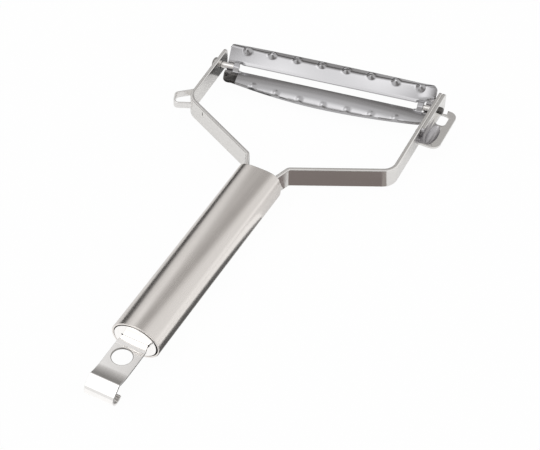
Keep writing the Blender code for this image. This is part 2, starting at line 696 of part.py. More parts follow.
def build_shelf():
    """The scoop's level part: a sheet with a dished bowl, round corners and a hole."""
    columns, rows = 25, 41
    start_x, end_x = PLATE_THICKNESS / 2, PLATE_THICKNESS + SCOOP_REACH
    end_y = SCOOP_TOP + SCOOP_LENGTH
    half_x, half_y = SCOOP_BOWL_HALF
    top, low = [], []
    for i in range(columns):
        x = start_x + (end_x - start_x) * i / (columns - 1)
        for j in range(rows):
            y = SCOOP_TOP + SCOOP_LENGTH * j / (rows - 1)
            dx = (x - PLATE_THICKNESS - SCOOP_BOWL_INSET - half_x) / half_x
            dy = (y - SCOOP_TOP - SCOOP_BOWL_CENTER) / half_y
            z = -SCOOP_BOWL_DEPTH * max(0.0, 1 - dx * dx - dy * dy) ** SCOOP_BOWL_POWER
            top.append(on_plate(x, y, z + SCOOP_THICKNESS / 2))
            low.append(on_plate(x, y, z - SCOOP_THICKNESS / 2))
    shelf = add_object("shelf", top + low, sheet_faces(columns, rows, lambda i, j: True))
    corner_x = end_x - SCOOP_CORNER
    border = [(0, SCOOP_TOP)] + arc((corner_x, SCOOP_TOP + SCOOP_CORNER), SCOOP_CORNER, 270)
    border += arc((corner_x, end_y - SCOOP_CORNER), SCOOP_CORNER, 0) + [(0, end_y)]
    combine(shelf, plate_prism("border", border), "INTERSECT")
    mid_x, mid_y = PLATE_THICKNESS + SCOOP_HOLE_CENTER[0], SCOOP_TOP + SCOOP_HOLE_CENTER[1]
    reach_x, reach_y = (size / 2 - SCOOP_HOLE_CORNER for size in SCOOP_HOLE)
    hole = []
    for first, (sign_x, sign_y) in enumerate(((1, 1), (-1, 1), (-1, -1), (1, -1))):
        corner = (mid_x + sign_x * reach_x, mid_y + sign_y * reach_y)
        hole += arc(corner, SCOOP_HOLE_CORNER, 90 * first, steps=6)
    combine(shelf, plate_prism("hole", hole), "DIFFERENCE")
    return shelf


def build_scoop():
    """The plate on the right arm with the pierced, dished scoop that stands out from it."""
    scoop = build_scoop_plate()
    combine(scoop, build_shelf(), "UNION")
    outward = arm_outward(1)
    tab = block("tab", tab_center(), (STRAP_THICKNESS + 2 * (GAP + TAB_PROUD), PLATE_THICKNESS, TAB_HEIGHT),
                math.atan2(outward.y, outward.x))
    combine(scoop, tab, "UNION")
    crossing = axis_point(axis_reach())
    hole = rod("hole", crossing, axis_point(axis_reach() + CUT_REACH), PIN_RADIUS + GAP)
    combine(scoop, hole, "DIFFERENCE")
    seat = crossing + outward * (STRAP_THICKNESS / 2 + GAP + PLATE_THICKNESS)
    room = rod("room", seat, seat + outward * (PIN_HEAD_HEIGHT + 3 * GAP), PIN_HEAD_RADIUS + 2 * GAP)
    combine(scoop, room, "DIFFERENCE")
    return scoop


def place_in_frame(items):
    """Moves every piece so that the origin is the middle of the underside of the bounding box."""
    corners = [item.matrix_world @ vertex.co for item in items for vertex in item.data.vertices]
    low = [min(corner[axis] for corner in corners) for axis in range(3)]
    high = [max(corner[axis] for corner in corners) for axis in range(3)]
    shift = Vector(((low[0] + high[0]) / 2, (low[1] + high[1]) / 2, low[2]))
    for item in items:
        item.location -= shift


def main():
    """Builds every piece in order."""
    clear_scene()
    items = [
        build_tube(),
        build_end_cap(),
        build_neck_plate(),
        build_frame_strap(),
        build_hanger(),
        build_blade(),
        build_pin("pivot_pin_left", -1, 0.0),
        build_pin("pivot_pin_right", 1, GAP + PLATE_THICKNESS),
        build_eye_loop(),
        build_scoop(),
    ]
    bpy.context.view_layer.update()
    place_in_frame(items)


main()
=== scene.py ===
"""Wide peeler with a slanted swivel blade, dressed for its studio picture.

Working axes: X across the handle, Y along it towards the head, Z up. Y = 0 is the head end of the tube and
Z = 0 the middle of the strap's height. Each piece is modelled there and moved into the frame when it is done.
"""

import logging
import math
from dataclasses import dataclass
from enum import Enum
from typing import Any, Callable, Optional, Sequence, Union

import bmesh
import bpy
from mathutils import Euler, Matrix, Vector


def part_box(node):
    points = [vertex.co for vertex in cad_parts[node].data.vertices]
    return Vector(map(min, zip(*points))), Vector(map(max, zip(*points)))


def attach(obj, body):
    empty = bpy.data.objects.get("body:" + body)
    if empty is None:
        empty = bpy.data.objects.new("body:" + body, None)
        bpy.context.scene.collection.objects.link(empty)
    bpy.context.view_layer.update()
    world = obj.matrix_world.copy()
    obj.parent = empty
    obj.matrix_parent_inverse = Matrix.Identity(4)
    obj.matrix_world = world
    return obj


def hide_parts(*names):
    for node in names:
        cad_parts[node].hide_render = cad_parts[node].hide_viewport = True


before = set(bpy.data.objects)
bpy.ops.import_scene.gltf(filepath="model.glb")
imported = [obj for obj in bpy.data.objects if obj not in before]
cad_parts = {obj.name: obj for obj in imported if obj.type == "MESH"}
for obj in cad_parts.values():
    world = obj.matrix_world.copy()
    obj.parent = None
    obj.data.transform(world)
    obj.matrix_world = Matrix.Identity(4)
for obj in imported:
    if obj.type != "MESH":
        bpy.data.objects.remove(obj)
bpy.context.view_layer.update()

MM = 0.001
GAP = 0.3 * MM
TINY = 0.01 * MM
# How far a cutter runs to each side of the wall that it goes through.
CUT_REACH = 4 * MM
# An edge or a normal lies along a direction from this cosine on.
ALONG = 0.9
ROD_SIDES = 96
CREASE_ANGLE = math.radians(32)
AXIS_X, AXIS_Y, AXIS_Z = Vector((1, 0, 0)), Vector((0, 1, 0)), Vector((0, 0, 1))
WHITE = (1.0, 1.0, 1.0)

Point = tuple[float, float]
Triple = tuple[float, float, float]
Test = Callable[[Vector, Vector], bool]

log = logging.getLogger("wide_peeler")


class Side(Enum):
    """The two arms of the wishbone."""

    LEFT = -1
    RIGHT = 1


class Pick(Enum):
    """What a selection holds."""

    VERTS = "VERT"
    EDGES = "EDGE"
    FACES = "FACE"


class Cut(Enum):
    """How one solid changes another."""

    TAKE = "DIFFERENCE"
    JOIN = "UNION"


def mm(*sizes: float) -> tuple[float, ...]:
    """Turns sizes in millimetres into metres."""
    return tuple(size * MM for size in sizes)


def facing(run: Vector, across: Vector) -> Euler:
    """Gives the rotation that lays a primitive's X along one direction and its Y along another."""
    return Matrix((run, across, run.cross(across))).transposed().to_euler()


def smooth(value: float) -> float:
    """Eases from 0 to 1 between 0 and 1."""
    value = min(max(value, 0.0), 1.0)
    return value * value * (3 - 2 * value)


def lower(first: float, second: float, blend: float) -> float:
    """Gives the lower of two heights, rounded where they meet."""
    share = max(0.0, 1 - abs(first - second) / blend)
    return min(first, second) - share ** 2 * blend / 4


def corner_loss(distance: float, radius: float) -> float:
    """Gives how much a round corner takes off an edge at this distance from its end."""
    inside = radius - min(max(distance, 0.0), radius)
    return radius - math.sqrt(radius ** 2 - inside ** 2)


def flat(point: Point) -> Vector:
    """Gives a plan point at the middle of the strap's height."""
    return Vector((*point, 0))


def working_origin() -> Vector:
    """Gives the place of the working axes' origin in the frame, from the boxes of three solids."""
    tube, cap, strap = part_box("handle_tube"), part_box("end_cap"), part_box("frame_strap")
    return Vector(((cap[0].x + cap[1].x) / 2, tube[1].y, (strap[0].z + strap[1].z) / 2))


ORIGIN = working_origin()
UPRIGHT = facing(AXIS_X, AXIS_Z)


class Workpiece:
    """A mesh on the bench: shaped in edit mode, finished with modifiers, then put in the frame."""

    def __init__(self, name: str, primitive: Callable, place: Vector, turn: Optional[Euler] = None,
                 factors: Sequence[float] = (1, 1, 1), **settings: Any) -> None:
        """Adds a primitive at its size and place and opens it for editing.

        Args:
            name: name of the object.
            primitive: the operator that adds the mesh.
            place: middle of the primitive.
            turn: rotation of the primitive.
            factors: scale along the primitive's own axes.
            settings: other settings of the operator.
        """
        bpy.ops.object.select_all(action="DESELECT")
        primitive(location=place, rotation=turn or Euler(), **settings)
        self.item = bpy.context.active_object
        self.item.name = name
        self.item.scale = factors
        bpy.ops.object.transform_apply(location=True, rotation=True, scale=True)
        bpy.ops.object.mode_set(mode="EDIT")

    def pick(self, kind: Pick, test: Test) -> None:
        """Selects what passes a test.

        Args:
            kind: the kind of element to select.
            test: takes an element's middle and its normal, or its direction for an edge.
        """
        bpy.ops.mesh.select_mode(type=kind.value)
        bpy.ops.mesh.select_all(action="DESELECT")
        shape = bmesh.from_edit_mesh(self.item.data)
        if kind is Pick.VERTS:
            found = [vert for vert in shape.verts if test(vert.co, vert.normal)]
        elif kind is Pick.EDGES:
            found = []
            for edge in shape.edges:
                start, end = (vert.co for vert in edge.verts)
                if test((start + end) / 2, (end - start).normalized()):
                    found.append(edge)
        else:
            found = [face for face in shape.faces if test(face.calc_center_median(), face.normal)]
        if not found:
            raise ValueError(f"{self.item.name}: nothing to pick")
        for element in found:
            element.select_set(True)
        shape.select_flush_mode()
        bmesh.update_edit_mesh(self.item.data)

    def pick_all(self) -> None:
        """Selects the whole mesh."""
        bpy.ops.mesh.select_all(action="SELECT")

    def drop_faces(self) -> None:
        """Deletes the picked faces and keeps their edges."""
        bpy.ops.mesh.delete(type="ONLY_FACE")

    def pull(self, move: Vector) -> None:
        """Extrudes what is picked."""
        bpy.ops.mesh.extrude_region_move(TRANSFORM_OT_translate={"value": move})

    def stretch(self, factors: Sequence[float], about: Vector) -> None:
        """Scales what is picked about a point."""
        bpy.ops.transform.resize(value=factors, center_override=about)

    def bend(self, center: Vector, axis: Vector, angle: float, steps: int) -> None:
        """Turns the picked end about an axis by the right-hand rule; the operator turns the other way."""
        bpy.ops.mesh.spin(steps=steps, angle=angle, center=center, axis=-axis, use_auto_merge=False)

    def follow(self, corners: Sequence[Vector], radii: Sequence[float], steps: int) -> None:
        """Draws the picked end along a path of straight runs and round bends.

        Args:
            corners: the path's corner points; the picked end lies at the first.
            radii: bend radius at each inner corner.
            steps: steps of a bend.
        """
        place = corners[0]
        for corner, after, radius in zip(corners[1:], corners[2:], radii):
            came, goes = (corner - place).normalized(), (after - corner).normalized()
            turn = came.angle(goes)
            axis = came.cross(goes).normalized()
            start = corner - came * radius * math.tan(turn / 2)
            self.pull(start - place)
            self.bend(start + axis.cross(came) * radius, axis, turn, steps)
            place = corner + goes * radius * math.tan(turn / 2)
        self.pull(corners[-1] - place)

    def slice(self, place: Vector, facing_to: Vector) -> None:
        """Cuts new edges through the whole mesh along a plane."""
        self.pick_all()
        bpy.ops.mesh.bisect(plane_co=place, plane_no=facing_to)

    def round_corners(self, radius: float, steps: int, profile: float = 0.5) -> None:
        """Bevels the picked corner points of a flat face."""
        bpy.ops.mesh.bevel(offset_type="OFFSET", offset=radius, segments=steps, profile=profile,
                           affect="VERTICES", clamp_overlap=False)

    def round_edges(self, radius: float, steps: int) -> None:
        """Bevels the picked edges."""
        bpy.ops.mesh.bevel(offset_type="OFFSET", offset=radius, segments=steps, affect="EDGES",
                           clamp_overlap=True)

    def close(self) -> "Workpiece":
        """Leaves edit mode with every face pointing out.

        Returns:
            The piece itself.
        """
        self.pick_all()
        bpy.ops.mesh.normals_make_consistent(inside=False)
        bpy.ops.object.mode_set(mode="OBJECT")
        return self

    def select(self) -> None:
        """Makes this the one selected and active object."""
        bpy.ops.object.select_all(action="DESELECT")
        self.item.select_set(True)
        bpy.context.view_layer.objects.active = self.item

    def open(self) -> None:
        """Goes back to edit mode."""
        self.select()
        bpy.ops.object.mode_set(mode="EDIT")

    def modify(self, kind: str, **settings: Any) -> None:
        """Adds a modifier and applies it.

        Args:
            kind: type of the modifier.
            settings: its settings.
        """
        bpy.context.view_layer.objects.active = self.item
        modifier = self.item.modifiers.new(kind.lower(), kind)
        for name, value in settings.items():
            setattr(modifier, name, value)
        bpy.ops.object.modifier_apply(modifier=modifier.name)

    def thicken(self, thickness: float, offset: float = 0.0) -> None:
        """Gives a sheet its thickness; offset -1 puts all of it behind the faces."""
        self.modify("SOLIDIFY", thickness=thickness, offset=offset, use_even_offset=True)

    def soften(self, width: float, steps: int = 3, angle: float = 40) -> None:
        """Rounds every edge that is sharper than an angle in degrees."""
        self.modify("BEVEL", width=width, segments=steps, limit_method="ANGLE",
                    angle_limit=math.radians(angle), miter_outer="MITER_ARC", harden_normals=False)

    def press(self, axis: str, die: Callable[[Vector], float]) -> None:
        """Presses the mesh along one axis to the depths of a die.

        Args:
            axis: X, Y or Z.
            die: gives the move of a point.
        """
        moves = [die(vertex.co) for vertex in self.item.data.vertices]
        low, span = min(moves), max(moves) - min(moves)
        group = self.item.vertex_groups.new(name="die")
        for vertex, move in zip(self.item.data.vertices, moves):
            group.add([vertex.index], (move - low) / span, "REPLACE")
        self.modify("DISPLACE", direction=axis, strength=span, mid_level=0, vertex_group=group.name)
        self.item.vertex_groups.clear()
        self.move(low * Vector([float(axis == name) for name in "XYZ"]))

    def move(self, shift: Vector, turn: Optional[Euler] = None) -> None:
        """Turns the whole piece about the origin, then shifts it.

        Args:
            shift: how far the piece goes.
            turn: how it turns first.
        """
        self.select()
        self.item.location = shift
        self.item.rotation_euler = turn or Euler()
        bpy.ops.object.transform_apply(location=True, rotation=True, scale=True)

    def combine(self, tool: "Workpiece", how: Cut) -> None:
        """Cuts or joins another piece and removes it.

        Args:
            tool: the other piece.
            how: whether it is cut away or joined.
        """
        before = len(self.item.data.polygons)
        self.modify("BOOLEAN", object=tool.item, operation=how.value, solver="EXACT")
        if len(self.item.data.polygons) < before / 2:
            raise ValueError(f"{self.item.name}: lost its faces to {tool.item.name}")
        bpy.data.objects.remove(tool.item, do_unlink=True)

    def dress(self, steel: "Steel", test: Test = lambda place, normal: True) -> None:
        """Gives a finish to the faces that pass a test.

        Args:
            steel: the finish.
            test: takes a face's middle and its normal.
        """
        self.item.data.materials.append(steel.make())
        for face in self.item.data.polygons:
            if test(face.center, face.normal):
                face.material_index = len(self.item.data.materials) - 1

    def finish(self, steel: "Steel", body: str, node: str) -> bpy.types.Object:
        """Shades the piece and puts it in the frame, in its main finish if it was not dressed before.

        Args:
            steel: the piece's main finish.
            body: the body that it rides on.
            node: the solid that it stands for.

        Returns:
            The finished object.
        """
        if not self.item.data.materials:
            self.dress(steel)
        self.move(ORIGIN)
        bpy.ops.object.shade_smooth_by_angle(angle=CREASE_ANGLE)
        self.modify("WEIGHTED_NORMAL", keep_sharp=True)
        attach(self.item, body)
        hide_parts(node)
        return self.item


def sheet(name: str, place: Vector, size: Point, turn: Optional[Euler] = None) -> Workpiece:
    """Starts a piece from a flat rectangle of a width and a height."""
    return Workpiece(name, bpy.ops.mesh.primitive_plane_add, place, turn, (*size, 1), size=1)


def slab(name: str, center: Vector, size: Sequence[float], angle: float = 0.0) -> Workpiece:
    """Makes a box turned about Z, to cut away or to join."""
    cube = bpy.ops.mesh.primitive_cube_add
    return Workpiece(name, cube, center, Euler((0, 0, angle)), size, size=1).close()


def rod(name: str, start: Vector, end: Vector, radius: float) -> Workpiece:
    """Makes a round bar between two points, to cut away."""
    turn = (end - start).to_track_quat("Z", "Y").to_euler()
    return Workpiece(name, bpy.ops.mesh.primitive_cylinder_add, (start + end) / 2, turn,
                     vertices=ROD_SIDES, radius=radius, depth=(end - start).length).close()


Number = Union[float, "Value"]


class Value:
    """A number in a shader; an expression on values adds its Math nodes."""

    def __init__(self, tree: "Tree", socket: bpy.types.NodeSocket) -> None:
        """Wraps a socket."""
        self.tree = tree
        self.socket = socket

    def math(self, operation: str, left: Number, right: Number = 0.0) -> "Value":
        """Adds one Math node."""
        return self.tree.value("ShaderNodeMath", {"operation": operation}, {0: left, 1: right})

    def __add__(self, other: Number) -> "Value":
        """Adds two numbers."""
        return self.math("ADD", self, other)

    def __sub__(self, other: Number) -> "Value":
        """Takes a number from this one."""
        return self.math("SUBTRACT", self, other)

    def __rsub__(self, other: Number) -> "Value":
        """Takes this number from another."""
        return self.math("SUBTRACT", other, self)

    def __mul__(self, other: Number) -> "Value":
        """Multiplies two numbers."""
        return self.math("MULTIPLY", self, other)

    __radd__ = __add__
    __rmul__ = __mul__

    def size(self) -> "Value":
        """Gives the number without its sign."""
        return self.math("ABSOLUTE", self)

    def within(self, low: float, high: float) -> "Value":
        """Rises smoothly from 0 to 1 between two numbers."""
        return self.tree.value("ShaderNodeMapRange", {"interpolation_type": "SMOOTHSTEP"},
                               {0: self, 1: low, 2: high, 3: 0.0, 4: 1.0})

    def larger(self, other: Number) -> "Value":
        """Gives the larger of two numbers."""
        return self.math("MAXIMUM", self, other)


Vectorial = Union[Sequence[float], bpy.types.NodeSocket]


class Tree:
    """A node tree that is built by expressions."""

    def __init__(self, owner: Union[bpy.types.Material, bpy.types.World]) -> None:
        """Empties the tree of its owner.

        Args:
            owner: a material or a world.
        """
        owner.use_nodes = True
        self.tree = owner.node_tree
        self.tree.nodes.clear()

    def node(self, kind: str, settings: Optional[dict] = None,
             inputs: Optional[dict] = None) -> bpy.types.Node:
        """Adds a node.

        Args:
            kind: type of the node.
            settings: its own settings, which are set first.
            inputs: values or links of its sockets, by name or number.

        Returns:
            The new node.
        """
        made = self.tree.nodes.new(kind)
        for name, value in (settings or {}).items():
            setattr(made, name, value)
        for key, value in (inputs or {}).items():
            value = value.socket if isinstance(value, Value) else value
            if isinstance(value, bpy.types.NodeSocket):
                self.tree.links.new(value, made.inputs[key])
            else:
                made.inputs[key].default_value = value
        return made

    def value(self, kind: str, settings: Optional[dict] = None, inputs: Optional[dict] = None,
              output: Union[int, str] = 0) -> Value:
        """Adds a node and gives one of its outputs as a number."""
        return Value(self, self.node(kind, settings, inputs).outputs[output])

    def mix(self, share: Number, first: Union[Triple, Value], second: Union[Triple, Value]) -> Value:
        """Mixes two colours."""
        colors = [(*item, 1.0) if isinstance(item, tuple) else item for item in (first, second)]
        return self.value("ShaderNodeMix", {"data_type": "RGBA"}, {0: share, 6: colors[0], 7: colors[1]}, 2)

    def dot(self, first: Vectorial, second: Vectorial) -> Value:
        """Gives the dot product of two directions."""
        product = {"operation": "DOT_PRODUCT"}
        return self.value("ShaderNodeVectorMath", product, {0: first, 1: second}, "Value")

    def noise(self, place: Vectorial, scale: float, detail: float, grain: float = 0.5) -> Value:
        """Adds a noise about 0, whose grain is how rough its finer layers are."""
        settings = {"Vector": place, "Scale": scale, "Detail": detail, "Roughness": grain}
        return self.value("ShaderNodeTexNoise", None, settings) - 0.5

    def show_front(self, shader: bpy.types.Node) -> None:
        """Ends a material that is clear from behind.

        Args:
            shader: what its front shows.
        """
        behind = self.value("ShaderNodeNewGeometry", output="Backfacing")
        clear = self.node("ShaderNodeBsdfTransparent")
        shown = self.node("ShaderNodeMixShader", None, {0: behind, 1: shader.outputs[0], 2: clear.outputs[0]})
        self.node("ShaderNodeOutputMaterial", None, {"Surface": shown.outputs[0]})


@dataclass(frozen=True)
class Steel:
    """A stainless finish: fine lines along the piece, faint smudges, and edges that are polished as by wear
    and tinted with painted shade or a painted highlight.

    The pattern repeats along each axis as often as lines says, and turns about Z. Tones are shares of the
    contrast, and the rough values say how much each layer moves the roughness.
    """

    name: str
    slot: str
    color: Triple
    roughness: float
    lines: Triple
    turn: float = 0.0
    line_detail: float = 4.0
    line_grain: float = 0.65
    line_depth: float = 0.25
    line_height: float = 0.01 * MM
    line_tone: float = 0.10
    line_rough: float = 0.10
    streak_scale: float = 0.22
    streak_detail: float = 2.0
    contrast: float = 0.14
    smudge_scale: float = 60.0
    smudge_detail: float = 3.0
    smudge_tone: float = 0.06
    smudge_rough: float = 0.14
    speck_scale: float = 2600.0
    speck_detail: float = 2.0
    speck_rough: float = 0.05
    speck_height: float = 0.3
    edge_share: float = 0.6
    # Colour factor at sharp edges: below 1 it paints a shade line along them, above 1 a highlight.
    edge_wear_and_shade: float = 0.6
    edge_width: float = 0.25 * MM
    edge_span: Point = (0.90, 0.995)
    edge_samples: int = 4
    edge_polish: float = 0.06

    def shade(self, factor: float) -> Triple:
        """Gives the finish's colour, darker or lighter."""
        return tuple(min(channel * factor, 1.0) for channel in self.color)

    def edge(self, tree: Tree) -> Value:
        """Tells how near a face's point lies to a sharp edge.

        Args:
            tree: the material's tree.

        Returns:
            0 on a flat, 1 at an edge.
        """
        rounded = tree.node("ShaderNodeBevel", {"samples": self.edge_samples},
                            {"Radius": self.edge_width}).outputs[0]
        straight = tree.node("ShaderNodeNewGeometry").outputs["Normal"]
        return 1 - tree.dot(rounded, straight).within(*self.edge_span)

    def make(self) -> bpy.types.Material:
        """Builds the material, or finds it if it was built before.

        Returns:
            The material, whose pattern reads object coordinates.
        """
        material = bpy.data.materials.get(self.name)
        if material:
            return material
        material = bpy.data.materials.new(self.name)
        tree = Tree(material)
        place = tree.node("ShaderNodeTexCoord").outputs["Object"]
        turned = tree.node("ShaderNodeMapping", {"vector_type": "TEXTURE"},
                           {"Vector": place, "Rotation": (0, 0, self.turn)}).outputs[0]
        along = tree.node("ShaderNodeVectorMath", {"operation": "MULTIPLY"},
                          {0: turned, 1: self.lines}).outputs[0]
        line = tree.noise(along, 1.0, self.line_detail, self.line_grain)
        streak = tree.noise(along, self.streak_scale, self.streak_detail)
        smudge = tree.noise(place, self.smudge_scale, self.smudge_detail)
        speck = tree.noise(place, self.speck_scale, self.speck_detail)
        edge = self.edge(tree)
        tone = (line + streak) * (2 * self.line_tone) + smudge * (2 * self.smudge_tone) + 0.5
        body = tree.mix(tone, self.shade(1 - self.contrast), self.shade(1 + self.contrast))
        # Sharp edges get a painted shade line or a painted highlight from the edge factor, besides their
        # polish.
        color = tree.mix(edge * self.edge_share, body, self.shade(self.edge_wear_and_shade))
        rough = line * self.line_rough + smudge * self.smudge_rough + speck * self.speck_rough
        rough = rough + self.roughness - edge * self.edge_polish
        bump = tree.node("ShaderNodeBump", None, {"Strength": self.line_depth, "Distance": self.line_height,
                                                  "Height": line + speck * self.speck_height})
        shader = tree.node("ShaderNodeBsdfPrincipled", None,
                           {"Base Color": color, "Metallic": 1.0, "Roughness": rough,
                            "Normal": bump.outputs[0]})
        tree.node("ShaderNodeOutputMaterial", None, {"Surface": shader.outputs[0]})
        return material


@dataclass(frozen=True)
class Wishbone:
    """The strap frame: one strip bent from inside the tube out to both tips."""

    thickness: float = 1.7 * MM
    height: float = 9.6 * MM
    tip_radius: float = 1.5 * MM
    middle_x: float = 0.5 * MM
    inset_x: float = 6.6 * MM
    depth: float = 18 * MM
    neck: Point = mm(9.7, 8.3)
    left_shoulder: Point = mm(-48.4, 27.1)
    left_tip: Point = mm(-50.02, 63.0)
    right_shoulder: Point = mm(48.3, 29.1)
    right_tip: Point = mm(46.23, 84.0)
    pivot_sideways: float = 0.27 * MM
    left_pivot_down: float = 6.1 * MM
    right_pivot_down: float = 7.5 * MM
    pin_hole: float = 1.75 * MM
    foot_bend: float = 3.0 * MM
    mouth_bend: float = 6.0 * MM
    neck_bend: float = 2.2 * MM
    shoulder_bend: float = 6.5 * MM
    bend_steps: int = 16
    corner_steps: int = 10
    edge_radius: float = 0.5 * MM
    edge_steps: int = 5
    tick: Triple = mm(0.45, 1.0, 1.9)
    tick_place: Point = mm(32.3, 2.7)
    sheared_from: float = 0.8

    def shoulder(self, side: Side) -> Vector:
        """Gives the corner point of an arm's shoulder."""
        return flat(self.left_shoulder if side is Side.LEFT else self.right_shoulder)

    def tip(self, side: Side) -> Vector:
        """Gives the tip of an arm's centre line."""
        return flat(self.left_tip if side is Side.LEFT else self.right_tip)

    def pivot(self, side: Side) -> Vector:
        """Gives the point where the blade's axis crosses an arm."""
        down = self.left_pivot_down if side is Side.LEFT else self.right_pivot_down
        return self.tip(side) + Vector((self.pivot_sideways, -down, 0))

    def slant(self) -> float:
        """Gives the angle of the blade's axis to X."""
        across = self.pivot(Side.RIGHT) - self.pivot(Side.LEFT)
        return math.atan2(across.y, across.x)

    def center(self) -> Vector:
        """Gives the middle of the blade's axis between the arms."""
        return (self.pivot(Side.LEFT) + self.pivot(Side.RIGHT)) / 2

    def reach(self) -> float:
        """Gives half the distance between the two pivots."""
        return (self.pivot(Side.RIGHT) - self.pivot(Side.LEFT)).length / 2

    def axis_point(self, u: float) -> Vector:
        """Gives the point of the blade's axis at a distance from its middle."""
        return self.center() + Vector((math.cos(self.slant()), math.sin(self.slant()), 0)) * u

    def pin_way(self, side: Side) -> Vector:
        """Gives the direction of the blade's axis towards an arm."""
        return (self.axis_point(side.value * MM) - self.center()).normalized()

    def upward(self, side: Side) -> Vector:
        """Gives the direction of an upper arm from its shoulder to its tip."""
        return (self.tip(side) - self.shoulder(side)).normalized()

    def outward(self, side: Side) -> Vector:
        """Gives the direction square to an upper arm, away from the blade."""
        ahead = self.upward(side)
        return Vector((ahead.y, -ahead.x, 0)) * side.value

    def path(self, side: Side) -> list[Vector]:
        """Gives the corner points of one half of the strip, from the middle of its foot to a tip.

        Args:
            side: which half.

        Returns:
            The corner points.
        """
        sign = side.value
        start_x, foot_x = (self.middle_x + sign * self.inset_x * share for share in (0.5, 1))
        return [Vector((start_x, -self.depth, 0)), Vector((foot_x, -self.depth, 0)), Vector((foot_x, 0, 0)),
                Vector((sign * self.neck[0], self.neck[1], 0)), self.shoulder(side), self.tip(side)]

    def tick_cutter(self) -> Workpiece:
        """Makes the cutter for the small upright nick in the left lower arm's outer face.

        Returns:
            The cutter.
        """
        neck = Vector((-self.neck[0], self.neck[1], 0))
        along = (self.shoulder(Side.LEFT) - neck).normalized()
        outward = AXIS_Z.cross(along)
        center = neck + along * self.tick_place[0] + outward * self.thickness / 2
        return slab("tick", center + AXIS_Z * self.tick_place[1], self.tick, math.atan2(along.y, along.x))

    def build(self, steel: Steel, sheared_and_shaded: Steel, cutters: Sequence[Workpiece]) -> bpy.types.Object:
        """Bends the strap and cuts its holes.

        Args:
            steel: the strap's finish.
            sheared_and_shaded: the darker finish of the left arm's cut top and bottom edges, which paints
                shade on them.
            cutters: what makes room for the pieces that stand in its arms.

        Returns:
            The dressed strap.
        """
        foot = Vector((self.middle_x, -self.depth, 0))
        strap = sheet("frame_strap_steel", foot, (self.inset_x, self.height), UPRIGHT)
        for side in Side:
            strap.pick(Pick.EDGES, lambda place, along: side.value * (place.x - foot.x) > TINY
                       and abs(place.y - foot.y) < TINY and abs(along.z) > ALONG)
            bends = [self.foot_bend, self.mouth_bend, self.neck_bend, self.shoulder_bend]
            strap.follow(self.path(side), bends, self.bend_steps)
            strap.pick(Pick.VERTS, lambda place, normal: (place.xy - self.tip(side).xy).length < TINY)
            strap.round_corners(self.tip_radius, self.corner_steps)
        strap.close()
        strap.thicken(self.thickness)
        strap.soften(self.edge_radius, self.edge_steps)
        for side in Side:
            pivot, out = self.pivot(side), self.outward(side) * CUT_REACH
            strap.combine(rod("hole", pivot - out, pivot + out, self.pin_hole), Cut.TAKE)
        for cutter in (*cutters, self.tick_cutter()):
            strap.combine(cutter, Cut.TAKE)
        strap.dress(steel)
        # Only the left arm's cut edges are darkened: painted shade, besides the cut-edge texture.
        strap.dress(sheared_and_shaded, lambda place, normal: abs(normal.z) > self.sheared_from
                    and place.x < -self.neck[0])
        return strap.finish(steel, "frame", "frame_strap")


